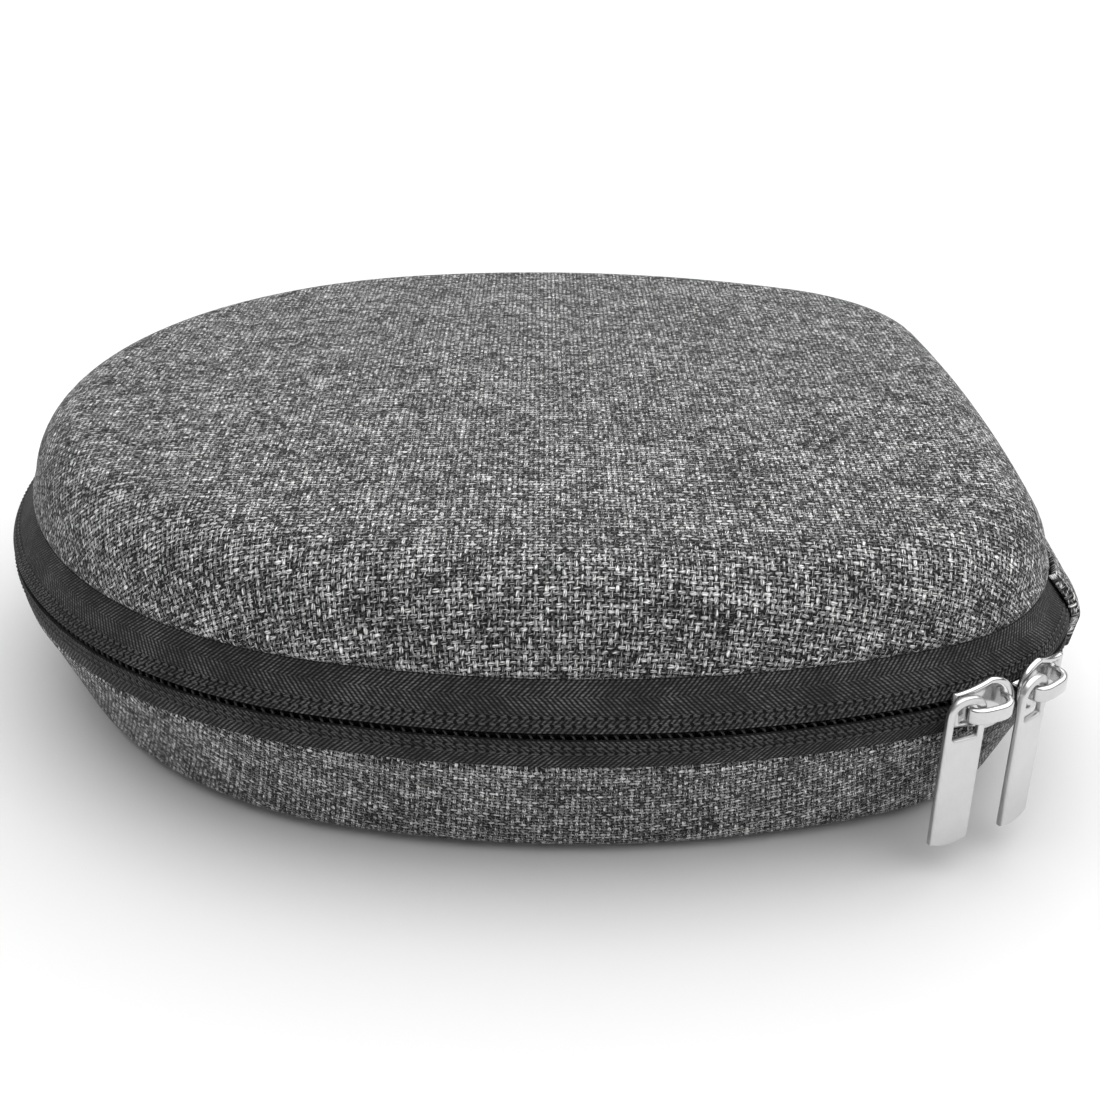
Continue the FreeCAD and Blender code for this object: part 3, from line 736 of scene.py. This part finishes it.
def covers_and_linings():
    inner = COVER + FOAM + 2 * GLUE
    for side, edge in (("lid", (0.45, 0.9)), ("base", (0.25, 0.7))):
        cloth_wall(side + "_cover_cloth", side, 0.0, COVER - 0.1, edge, MELANGE, "melange_fabric",
                   side + "_fabric_cover")
        cloth_wall(side + "_lining_cloth", side, inner, LINING - 0.1, None, LINING_KNIT, "lining_fabric",
                   side + "_lining")
        foam = frame["nodes"][side + "_foam_shell"]
        foam.data.materials.clear()
        foam.data.materials.append(FOAM_CELLS)


# ---------------------------------------------------------------- bands that follow the outline
def band_mesh(name, section, start, stop, count):
    """A closed section of (distance out, height) corners carried along the outline, with end caps.

    u is the distance along the band and v the distance round the section from its first corner.
    """
    distances, points, normals = stations(count, start, stop)
    section = np.array(section, float)
    steps = np.linalg.norm(np.roll(section, -1, 0) - section, axis=1)
    around = np.concatenate([[0.0], np.cumsum(steps)[:-1]])
    places, flats = [], []
    for distance, point, normal in zip(distances, points, normals):
        for (out, height), reach in zip(section, around):
            x, y = point + normal * out
            places.append((x, y, height))
            flats.append(((distance - start) * MM, reach * MM))
    thing = mesh_object(name, places, tube_faces(count, len(section)), flats)
    consistent(thing)
    return thing


def rounded(section, radius=0.12, steps=3):
    """Round the corners of a section, keeping its first edge's start first."""
    section = [np.array(p, float) for p in section]
    smooth = []
    for k, corner in enumerate(section):
        before, after = section[k - 1], section[(k + 1) % len(section)]
        to_before, to_after = before - corner, after - corner
        cut = min(radius, np.linalg.norm(to_before) * 0.45, np.linalg.norm(to_after) * 0.45)
        start = corner + to_before / np.linalg.norm(to_before) * cut
        end = corner + to_after / np.linalg.norm(to_after) * cut
        for step in range(steps + 1):
            t = step / steps
            smooth.append((1 - t) ** 2 * start + 2 * t * (1 - t) * corner + t * t * end)
    return smooth


def zip_tapes():
    first = distance_at_back(CHAIN_END)
    last = PERIMETER - first
    count = int((last - first) / 1.2)
    for side, up, inset, crease in SIDES:
        tip = ZIP_Z + EDGE_RISE * up
        hem = crease - GLUE * up
        low = hem - TAPE * up
        outside = straight((0.0, tip), (-inset, hem), 5)
        section = outside + [(-inset - TAPE_HEM, hem), (-inset - TAPE_HEM, low),
                             (-inset - TAPE_LIP, low), (-TAPE_LIP, tip)]
        thing = band_mesh(side + "_tape_cloth", rounded(section, 0.16, 2), first, last, count)
        finish_piece(thing, TAPE_CLOTH, side, "zip_tape", side + "_zip_tape")


def tube_rows(path, radius):
    """Rings of points round a path, kept from twisting."""
    path = np.asarray(path, float)
    tangents = np.gradient(path, axis=0)
    tangents /= np.linalg.norm(tangents, axis=1)[:, None]
    reference = np.array([0.0, 0.0, 1.0])
    rings = []
    for point, along in zip(path, tangents):
        side = np.cross(along, reference)
        if np.linalg.norm(side) < 0.2:
            side = np.cross(along, np.array([1.0, 0.0, 0.0]))
        side /= np.linalg.norm(side)
        up = np.cross(side, along)
        for k in range(TUBE_SIDES):
            turn = 2 * math.pi * k / TUBE_SIDES
            rings.append(point + (side * math.cos(turn) + up * math.sin(turn)) * radius)
    return rings


def zip_coils():
    """Each coil is one monofilament wound along the tape's edge, its turns meeting the other coil's."""
    first = distance_at_back(CHAIN_END)
    last = PERIMETER - first
    turns = int((last - first) / STITCH)
    for side, up, _, _ in SIDES:
        steps = turns * LOOP_STEPS
        path = []
        for k in range(steps + 1):
            distance = first + (last - first) * k / steps
            point, normal = on_outline(distance)
            turn = 2 * math.pi * k / LOOP_STEPS + (0 if up > 0 else math.pi)
            out = -COIL_IN + 0.55 * math.cos(turn) - 0.42 * math.sin(turn)
            height = ZIP_Z + up * (COIL_RISE + 0.98 * math.sin(turn))
            x, y = point + normal * out
            path.append((x, y, height))
        places = tube_rows(path, FILAMENT_RADIUS)
        thing = mesh_object(side + "_coil_filament", places, tube_faces(steps + 1, TUBE_SIDES))
        consistent(thing)
        finish_piece(thing, COIL, side, "zip_coil", side + "_zip_coil")
        cord = frame["nodes"][side + "_coil_cord"]
        cord.data.materials.clear()
        cord.data.materials.append(CORD)


def stitch_row(places, faces, distances, spot):
    """Add one thread capsule per distance; spot(distance) gives point, along and outward vectors."""
    rings = 5
    for distance in distances:
        point, along, outward = spot(distance)
        across = np.cross(along, outward)
        first = len(places)
        for ring in range(rings):
            share = ring / (rings - 1)
            girth = THREAD_RADIUS * math.sin(math.pi * (0.08 + 0.84 * share)) ** 0.5
            middle = point + along * (share - 0.5) * STITCH_LENGTH + outward * (0.6 * girth - STITCH_SINK)
            for k in range(TUBE_SIDES):
                turn = 2 * math.pi * k / TUBE_SIDES
                places.append(middle + (across * math.cos(turn) + outward * math.sin(turn)) * girth)
        faces += tube_faces(rings, TUBE_SIDES, first)


def tape_spot(start, end, share):
    """Where a stitch sits on a slanting face between two (out, height) corners of a section."""
    start, end = np.array(start, float), np.array(end, float)
    run = end - start
    run /= np.linalg.norm(run)
    facing = np.array([abs(run[1]), -run[0] * math.copysign(1, run[1])])

    def spot(distance):
        point, normal = on_outline(distance)
        out, height = start + (end - start) * share
        x, y = point + normal * out
        along = np.array([-normal[1], normal[0], 0.0])
        outward = np.array([normal[0] * facing[0], normal[1] * facing[0], facing[1]])
        return np.array([x, y, height]), along, outward

    return spot


def zip_stitches():
    """Two rows of stitches on each tape, which hold its coil."""
    start = distance_at_back(CHAIN_END)
    count = int((PERIMETER - 2 * (start + 1.0)) / STITCH)
    distances = [start + STITCH * (k + 1) for k in range(count)]
    for side, up, inset, crease in SIDES:
        tip = (0.0, ZIP_Z + EDGE_RISE * up)
        edge = (-inset, crease - GLUE * up)
        width = math.dist(tip, edge)
        places, faces = [], []
        for row in STITCH_ROWS:
            stitch_row(places, faces, distances, tape_spot(tip, edge, row / width))
        thing = mesh_object(side + "_zip_stitches", places, faces)
        consistent(thing)
        finish_piece(thing, THREAD, side, "zip_tape")


# ---------------------------------------------------------------- the fabric hinge
def hinge_sheet(name, track, half_length, thickness, hem, material, slot_name, *nodes):
    """A sheet carried along the back over the fold, its ends turned under.

    The track is the sheet's section, (distance out, height) pairs from the top down.
    """
    reach = distance_at_back(half_length)
    steps = np.concatenate([[0.0], np.cumsum(np.linalg.norm(np.diff(track, axis=0), axis=1))])
    columns = [(d, d, hem * (abs(d) > reach - STRIP_HEM)) for d in np.linspace(-reach, reach, 91)]
    for end in (-1, 1):
        for step in range(1, 6):
            turn = math.pi / 2 * step / 5
            columns.append((end * (reach + ROLL * math.sin(turn)), end * (reach + ROLL * turn),
                            hem - ROLL * (1 - math.cos(turn))))
    columns.sort()
    count = len(columns)
    places, flats = [], []
    for distance, flat, lift in columns:
        point, normal = on_outline(distance)
        for (out, height), run in zip(track, steps):
            x, y = point + normal * (out + lift)
            places.append((x, y, height))
            flats.append((flat * MM, run * MM))
    thing = mesh_object(name, places, grid_faces(count, len(track)), flats)
    consistent(thing)
    middle = min(thing.data.polygons, key=lambda f: abs(f.center.x) + abs(f.center.z - ZIP_Z * MM))
    if middle.normal.y < 0:
        thing.data.flip_normals()
    thicken(thing, thickness, 1.0)
    finish_piece(thing, material, None, slot_name, *nodes)
    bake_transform(thing)


def hinges():
    """The strip of cover cloth that wraps the two tapes at the back, and the lining strip inside it."""
    out = STRIP_GAP + 0.05
    outer = straight((out + 0.3 - LID_CREASE_INSET, LID_CREASE_Z - 0.15), (out + 0.3, ZIP_Z + 0.8), 10)
    outer = [(away + 0.5 * math.sin(math.pi * k / 10), height) for k, (away, height) in enumerate(outer)]
    outer += [(out + 0.45, ZIP_Z + 0.4), (out + 0.5, ZIP_Z), (out + 0.45, ZIP_Z - 0.4)]
    outer += straight((out + 0.35, ZIP_Z - 0.8), (out + 0.1 - BASE_CREASE_INSET, BASE_CREASE_Z + 0.15), 8)
    hinge_sheet("hinge_strip_cloth", outer, STRIP_HALF + 1.5, 0.95, 0.25, MELANGE, "melange_fabric",
                "hinge_strip_upper", "hinge_strip_lower")
    inner = straight((-LID_CREASE_INSET - 1.4, LID_CREASE_Z - 2.0), (-1.8, ZIP_Z + 0.8), 8)
    inner += [(-1.7, ZIP_Z)]
    inner += straight((-1.8, ZIP_Z - 0.8), (-BASE_CREASE_INSET - 1.5, BASE_CREASE_Z + 1.9), 6)
    hinge_sheet("hinge_lining_cloth", inner, INNER_STRIP_HALF, 0.5, 0.0, LINING_KNIT, "lining_fabric",
                "hinge_lining_upper", "hinge_lining_lower")


# ---------------------------------------------------------------- sliders
def slider_frame(name):
    """Origin, along, up and outward of a slider, from the joint that its pull swings on."""
    joint = [j for j in frame["joints"] if j["name"] == name + "_pull_swing"][0]
    outward = np.array(joint["axis"], float)
    along = np.cross((0.0, 0.0, 1.0), outward)
    leg = np.array(joint["pos_m"], float) / MM
    return leg + along * LEG_OFFSET, along, np.array((0.0, 0.0, 1.0)), outward


def plate_outline(length, width, tail_width, points=14):
    """Shield outline: square tail at -x, hollow flanks, round head at +x."""
    tail, shoulder = -length / 2, length * 0.08
    half, half_tail = width / 2, tail_width / 2
    upper = []
    for k in range(points + 1):
        t = k / points
        x = tail + (shoulder - tail) * t
        y = half_tail + (half - half_tail) * (t ** 2.1)
        upper.append((x, y))
    head_reach = length / 2 - shoulder
    for k in range(1, points + 4):
        turn = math.pi / 2 * (1 - k / (points + 4))
        upper.append((shoulder + head_reach * math.cos(turn), half * math.sin(turn)))
    lower = [(x, -y) for x, y in reversed(upper)]
    return upper + [(length / 2, 0.0)] + lower


def skinned(rings):
    """A closed form through rings of (x, y, z) points."""
    form = bmesh.new()
    loops = [[form.verts.new(point) for point in ring] for ring in rings]
    count = len(rings[0])
    for low, high in zip(loops, loops[1:]):
        for k in range(count):
            form.faces.new((low[k], low[(k + 1) % count], high[(k + 1) % count], high[k]))
    form.faces.new(list(reversed(loops[0])))
    form.faces.new(loops[-1])
    bmesh.ops.recalc_face_normals(form, faces=form.faces)
    return form


def plate_mesh(outline, rings):
    """A plate from its outline; each ring is the outline at a share of its size and a height."""
    return skinned([[(x * share, y * share, height) for x, y in outline] for share, height in rings])


def rim_and_dish(low, high, dish):
    """Rings of a plate with rounded edges, a raised rim and a shallow dish inside it."""
    step = (high - low) * 0.3
    return [(0.90, low), (0.97, low + step * 0.3), (1.0, low + step), (1.0, high - step),
            (0.975, high - step * 0.35), (0.93, high), (0.84, high), (0.76, high - dish * 0.5),
            (0.68, high - dish), (0.3, high - dish)]


def form_to_object(name, form, place):
    """Put a form given in slider coordinates where the slider is."""
    origin, along, up, outward = place
    matrix = Matrix(((along[0], up[0], outward[0], origin[0]), (along[1], up[1], outward[1], origin[1]),
                     (along[2], up[2], outward[2], origin[2]), (0, 0, 0, 1)))
    form.transform(matrix)
    bmesh.ops.scale(form, vec=(MM, MM, MM), verts=form.verts)
    bmesh.ops.recalc_face_normals(form, faces=form.faces)
    mesh = bpy.data.meshes.new(name)
    form.to_mesh(mesh)
    form.free()
    mesh.polygons.foreach_set("use_smooth", [True] * len(mesh.polygons))
    thing = bpy.data.objects.new(name, mesh)
    bpy.context.scene.collection.objects.link(thing)
    return thing


def strap_form(path, width, thickness):
    """A flat strap with rounded edges carried along a path in the x-z plane, centred on y = 0."""
    path = np.array(path, float)
    tangents = np.gradient(path, axis=0)
    tangents /= np.linalg.norm(tangents, axis=1)[:, None]
    edge = thickness * 0.42
    x, y = width / 2 - edge, thickness / 2 - edge
    section = []
    for centre_x, centre_y, start in ((x, y, 0), (-x, y, 90), (-x, -y, 180), (x, -y, 270)):
        section += quarter_turn(centre_x, centre_y, edge, start, 5)
    return skinned([[(x - tz * thick, across, z + tx * thick) for across, thick in section]
                    for (x, z), (tx, tz) in zip(path, tangents)])


def smooth_path(points, steps=6):
    """A smooth line through points."""
    points = np.array(points, float)
    padded = np.vstack([2 * points[0] - points[1], points, 2 * points[-1] - points[-2]])
    path = []
    for k in range(len(points) - 1):
        a, b, c, d = padded[k:k + 4]
        for step in range(steps):
            t = step / steps
            path.append(0.5 * (2 * b + (c - a) * t + (2 * a - 5 * b + 4 * c - d) * t ** 2
                               + (3 * b - a - 3 * c + d) * t ** 3))
    return path + [points[-1]]


def arch_points(top):
    """The bail's line: a steep leg at the round end's side, a bar, and a long leg towards the hinge."""
    return [(-3.35, top - 0.35), (-3.75, top + 1.0), (-3.5, top + 2.2), (-2.3, top + 2.85), (0.0, top + 3.0),
            (2.1, top + 2.85), (3.5, top + 2.1), (4.1, top + 0.9), (4.2, top - 0.35)]


def sliders():
    plate_high = PLATE_LOW + PLATE_THICK
    for name, head in (("front", 1), ("rear", -1)):
        place = slider_frame(name)
        outer = [(x * head, y) for x, y in plate_outline(*SLIDER)]
        inner = [(x * head, y) for x, y in plate_outline(*INNER_PLATE)]
        body = form_to_object(name + "_slider_plates",
                              plate_mesh(outer, rim_and_dish(PLATE_LOW, plate_high, 0.45)), place)
        back = form_to_object(name + "_inner",
                              plate_mesh(inner, rim_and_dish(INNER_TOP - INNER_THICK, INNER_TOP, 0.0)), place)
        post = bmesh.new()
        bmesh.ops.create_cube(post, size=1.0)
        bmesh.ops.scale(post, vec=(3.0, 0.4, PLATE_LOW - INNER_TOP + 0.2), verts=post.verts)
        bmesh.ops.translate(post, vec=(2.7 * head, 0, (PLATE_LOW + INNER_TOP) / 2), verts=post.verts)
        join_into(body, [back, form_to_object(name + "_post", post, place)])
        finish_piece(body, CHROME, name + "_slider", "slider_metal", name + "_slider_body")
        path = smooth_path(arch_points(plate_high - 0.3))
        bail = form_to_object(name + "_slider_arch", strap_form(path, *BAIL_STRAP), place)
        finish_piece(bail, CHROME, name + "_slider", "slider_metal", name + "_slider_bail")
        pull = pull_object(name, place, plate_high + PULL_PLAY)
        finish_piece(pull, SATIN, name + "_pull", "pull_metal", name + "_slider_pull")


def pull_outline(bulge, shoulder):
    """Outline of the pull in (x, y): bulging lower end and rounded shoulders."""
    half = PULL_WIDTH / 2
    sweep = [-1 + 2 * k / 12 for k in range(13)]
    points = [(half * t, PULL_BOTTOM + bulge * t * t) for t in sweep]
    for centre_x, start in ((half - shoulder, 0), (-half + shoulder, 90)):
        points += quarter_turn(centre_x, PULL_TOP - shoulder, shoulder, start, 8)
    return points


def pull_object(name, place, low):
    """A flat tag whose upper end is a rounded loop for the bail."""
    shift = -LEG_OFFSET - PULL_SIDE
    outer = [(x + shift, y) for x, y in pull_outline(0.9, 3.3)]
    top, bottom = PULL_TOP - 1.5, PULL_TOP - 1.6 - WINDOW_LENGTH
    small, large = 0.6, 2.0
    window = []
    for x, y, radius, start in ((WINDOW_HALF - small, bottom + small, small, 270),
                                (WINDOW_HALF - large, top - large, large, 0),
                                (-WINDOW_HALF + large, top - large, large, 90),
                                (-WINDOW_HALF + small, bottom + small, small, 180)):
        window += quarter_turn(x + shift, y, radius, start, 6)
    curve = bpy.data.curves.new(name + "_pull_curve", "CURVE")
    curve.dimensions = "2D"
    curve.fill_mode = "BOTH"
    for loop in (outer, window):
        spline = curve.splines.new("POLY")
        spline.points.add(len(loop) - 1)
        for point, (x, y) in zip(spline.points, loop):
            point.co = (x, y, 0, 1)
        spline.use_cyclic_u = True
    curve.extrude = PULL_THICK / 2 - PULL_EDGE
    curve.bevel_depth = PULL_EDGE
    curve.bevel_resolution = 5
    curve.offset = -PULL_EDGE
    holder = bpy.data.objects.new(name + "_pull_holder", curve)
    bpy.context.scene.collection.objects.link(holder)
    graph = bpy.context.evaluated_depsgraph_get()
    mesh = bpy.data.meshes.new_from_object(holder.evaluated_get(graph), depsgraph=graph)
    bpy.data.objects.remove(holder)
    form = bmesh.new()
    form.from_mesh(mesh)
    bmesh.ops.remove_doubles(form, verts=form.verts, dist=0.0005)
    bmesh.ops.translate(form, vec=(0, 0, low + PULL_THICK / 2), verts=form.verts)
    thing = form_to_object(name + "_slider_tag", form, place)
    bpy.data.meshes.remove(mesh)
    return thing


def join_into(target, others):
    """Join other objects' meshes into one."""
    form = bmesh.new()
    form.from_mesh(target.data)
    for other in others:
        form.from_mesh(other.data)
        bpy.data.objects.remove(other)
    form.to_mesh(target.data)
    form.free()
    target.data.polygons.foreach_set("use_smooth", [True] * len(target.data.polygons))


# ---------------------------------------------------------------- inside
def rim_bindings():
    for (side, up, inset, crease), draft in zip(SIDES, (LID_DRAFT, BASE_DRAFT)):
        low = crease - (2 * GLUE + TAPE) * up
        foot = low - BINDING_THICK * up
        inner = -inset - WALL / math.cos(draft) - 2 * GLUE
        end = crease + BINDING_REACH * up
        lean = math.tan(draft) * BINDING_REACH
        start = -inset - TAPE_LIP - 0.4
        section = [(start, low), (start, foot), (inner - BINDING_THICK, foot),
                   (inner - lean - BINDING_THICK, end), (inner - lean, end), (inner, low)]
        thing = band_mesh(side + "_binding_tape", rounded(section, 0.3, 3), 0.0, PERIMETER * 0.99999, AROUND)
        finish_piece(thing, BINDING, side, "binding_tape", side + "_rim_binding")


def inside_outline(points, inset):
    """Which (x, y) points lie inside the outline at an inset."""
    _, edge, normals = stations(AROUND)
    loop = edge - normals * inset
    following = np.roll(loop, -1, 0)
    inside = np.zeros(len(points), bool)
    for (x0, y0), (x1, y1) in zip(loop, following):
        crosses = (y0 > points[:, 1]) != (y1 > points[:, 1])
        if y1 != y0:
            inside ^= crosses & (points[:, 0] < (x1 - x0) * (points[:, 1] - y0) / (y1 - y0) + x0)
    return inside


def half_width_at(y, inset):
    """Half the width of the outline at an inset, at that y."""
    xs = np.linspace(0, HALF_WIDTH, 400)
    inside = inside_outline(np.column_stack([xs, np.full(400, y)]), inset)
    return xs[inside].max()


def net_edges(cell, front, back, inset):
    """Straight threads of a net of six-sided holes, as pairs of ends inside the pocket's outline."""
    side = cell / math.sqrt(3)
    ends = set()
    for row in range(int((back - front) / (1.5 * side)) + 2):
        for column in range(-40, 41):
            cx = (column + 0.5 * (row % 2)) * cell
            cy = front + row * 1.5 * side
            corner = [(cx + side * math.sin(math.radians(60 * k)), cy + side * math.cos(math.radians(60 * k)))
                      for k in range(4)]
            for a, b in zip(corner, corner[1:]):
                ends.add((round(a[0], 3), round(a[1], 3), round(b[0], 3), round(b[1], 3)))
    ends = np.array(sorted(ends))
    keep = inside_outline(ends[:, :2], inset) & inside_outline(ends[:, 2:], inset)
    keep &= (ends[:, 1] > front) & (ends[:, 3] > front)
    return ends[keep]


def pocket():
    """The net over the hinge half of the lid, its bound edge, and the gathered elastic along its mouth."""
    inset = LID_CREASE_INSET + WALL / math.cos(LID_DRAFT) + BINDING_THICK + 0.6
    low = LID_CREASE_Z + 1.0
    places, faces = [], []
    for x0, y0, x1, y1 in net_edges(NET_CELL, POCKET_MOUTH, 95.0, inset + 1.5):
        a, b = np.array([x0, y0, low + 0.3]), np.array([x1, y1, low + 0.3])
        along = (b - a) / np.linalg.norm(b - a)
        across = np.array([-along[1], along[0], 0.0]) * NET_THREAD
        first = len(places)
        for end in (a - along * NET_THREAD / 2, b + along * NET_THREAD / 2):
            places += [end + across, end + (0, 0, NET_THREAD), end - across, end - (0, 0, NET_THREAD)]
        faces += grid_faces(2, 4, close_columns=True, first=first)
    net = mesh_object("pocket_net", places, faces, smooth=False)
    start = [d for d in np.linspace(0, PERIMETER / 2, 400) if on_outline(d)[0][1] < POCKET_MOUTH][0]
    hem = band_mesh("pocket_hem", rounded([(-inset, low), (-inset, low + 0.6), (-inset - 4.5, low + 0.6),
                    (-inset - 4.5, low)], 0.2, 2), -start, start, 300)
    finish_piece(hem, BINDING, "lid", "pocket_mesh", "mesh_pocket")
    finish_piece(net, NET, "lid", "pocket_mesh", "mesh_pocket")
    _, edge, normals = stations(AROUND)
    covered = edge - normals * inset
    covered = covered[covered[:, 1] > POCKET_MOUTH]
    across, deep = (covered.max(0) - covered.min(0)) * MM
    columns, rows = 400, 9
    low_edge = POCKET_MOUTH - ELASTIC_WIDTH + 0.25
    heights = [low_edge + (ELASTIC_WIDTH - 0.55) * r / (rows - 1) for r in range(rows)]
    half_widths = [half_width_at(y, inset) for y in heights]
    places, flats = [], []
    for k in range(columns):
        share = 2 * k / (columns - 1) - 1
        for r in range(rows):
            y = heights[r]
            x = share * half_widths[r]
            ripple = math.sin(x * 2 * math.pi / 2.6 + 0.6 * math.sin(x * 0.4))
            gather = 0.16 * ripple * math.sin(math.pi * r / (rows - 1))
            places.append((x, y, low + 0.55 + gather))
            flats.append((x * MM, y * MM))
    band = mesh_object("pocket_elastic_band", places, grid_faces(columns, rows), flats)
    consistent(band)
    thicken(band, 0.8, 0.0)
    finish_piece(band, ELASTIC, "lid", "elastic_band", "pocket_elastic")
    width = 2 * half_width_at(-16.0, inset) * MM


covers_and_linings()
zip_tapes()
zip_coils()
zip_stitches()
hinges()
sliders()
rim_bindings()
pocket()


# ---------------------------------------------------------------- stage, light and camera
def stage():
    """A pale floor, and a sky that is white at the horizon and dim above it."""
    floor_mesh = bpy.data.meshes.new("floor")
    corners = [(x * FLOOR_HALF, y * FLOOR_HALF, 0) for x, y in ((-1, -1), (1, -1), (1, 1), (-1, 1))]
    floor_mesh.from_pydata(corners, [], [(0, 1, 2, 3)])
    floor = bpy.data.objects.new("floor", floor_mesh)
    bpy.context.scene.collection.objects.link(floor)
    n = Nodes("floor_paint")
    tone = n.noise(n.place(), 3.0, 2.0)
    n.finish(n.mix_colour(tone, grey(0.74), grey(0.78)), 0.9, Specular_IOR_Level=0.1)
    floor_mesh.materials.append(n.material)
    world = bpy.data.worlds.new("studio")
    world.use_nodes = True
    tree = world.node_tree
    place = tree.nodes.new("ShaderNodeTexCoord")
    parts = tree.nodes.new("ShaderNodeSeparateXYZ")
    ramp = tree.nodes.new("ShaderNodeValToRGB")
    tree.links.new(place.outputs["Generated"], parts.inputs[0])
    tree.links.new(parts.outputs["Z"], ramp.inputs[0])
    tree.links.new(ramp.outputs[0], tree.nodes["Background"].inputs[0])
    stops = ((0.10, 1.0), (0.20, 0.14), (0.6, 0.34), (1.0, 0.50))
    elements = ramp.color_ramp.elements
    while len(elements) < len(stops):
        elements.new(0.5)
    for element, (height, level) in zip(elements, stops):
        element.position = height
        element.color = (level, level, level, 1)
    tree.nodes["Background"].inputs[1].default_value = 1.0
    bpy.context.scene.world = world
    bpy.context.scene.view_settings.view_transform = "Standard"


def soft_sun(name, toward, strength, angle):
    data = bpy.data.lights.new(name, "SUN")
    data.energy = strength
    data.angle = math.radians(angle)
    light = bpy.data.objects.new(name, data)
    bpy.context.scene.collection.objects.link(light)
    light.rotation_euler = Vector(toward).to_track_quat("-Z", "Y").to_euler()


def area_light(name, place, target, size, power):
    data = bpy.data.lights.new(name, "AREA")
    data.shape = "RECTANGLE"
    data.size, data.size_y = size
    data.energy = power
    light = bpy.data.objects.new(name, data)
    bpy.context.scene.collection.objects.link(light)
    light.location = place
    light.rotation_euler = (Vector(target) - Vector(place)).to_track_quat("-Z", "Y").to_euler()


def camera():
    """The camera looks at the side that ends in the sliders' corner, from above it."""
    data = bpy.data.cameras.new("camera")
    data.sensor_width = SENSOR
    data.lens = LENS
    data.clip_start = 0.01
    data.shift_x, data.shift_y = CAMERA_SHIFT
    thing = bpy.data.objects.new("camera", data)
    bpy.context.scene.collection.objects.link(thing)
    back = Vector((math.cos(CAMERA_RISE), 0, math.sin(CAMERA_RISE)))
    right = Vector((0, 1, 0))
    up = right.cross(-back)
    turned_right = right * math.cos(CAMERA_ROLL) + up * math.sin(CAMERA_ROLL)
    turned_up = up * math.cos(CAMERA_ROLL) - right * math.sin(CAMERA_ROLL)
    matrix = Matrix((turned_right, turned_up, back)).transposed().to_4x4()
    matrix.translation = Vector(CAMERA_TARGET) + back * CAMERA_DISTANCE
    thing.matrix_world = matrix
    bpy.context.scene.camera = thing


stage()
soft_sun("overhead", (0.12, -0.26, -1.0), 3.45, 100)
area_light("front_box", (0.85, 0.35, 0.28), (0, 0, 0.03), (0.5, 0.35), 0.2)
camera()
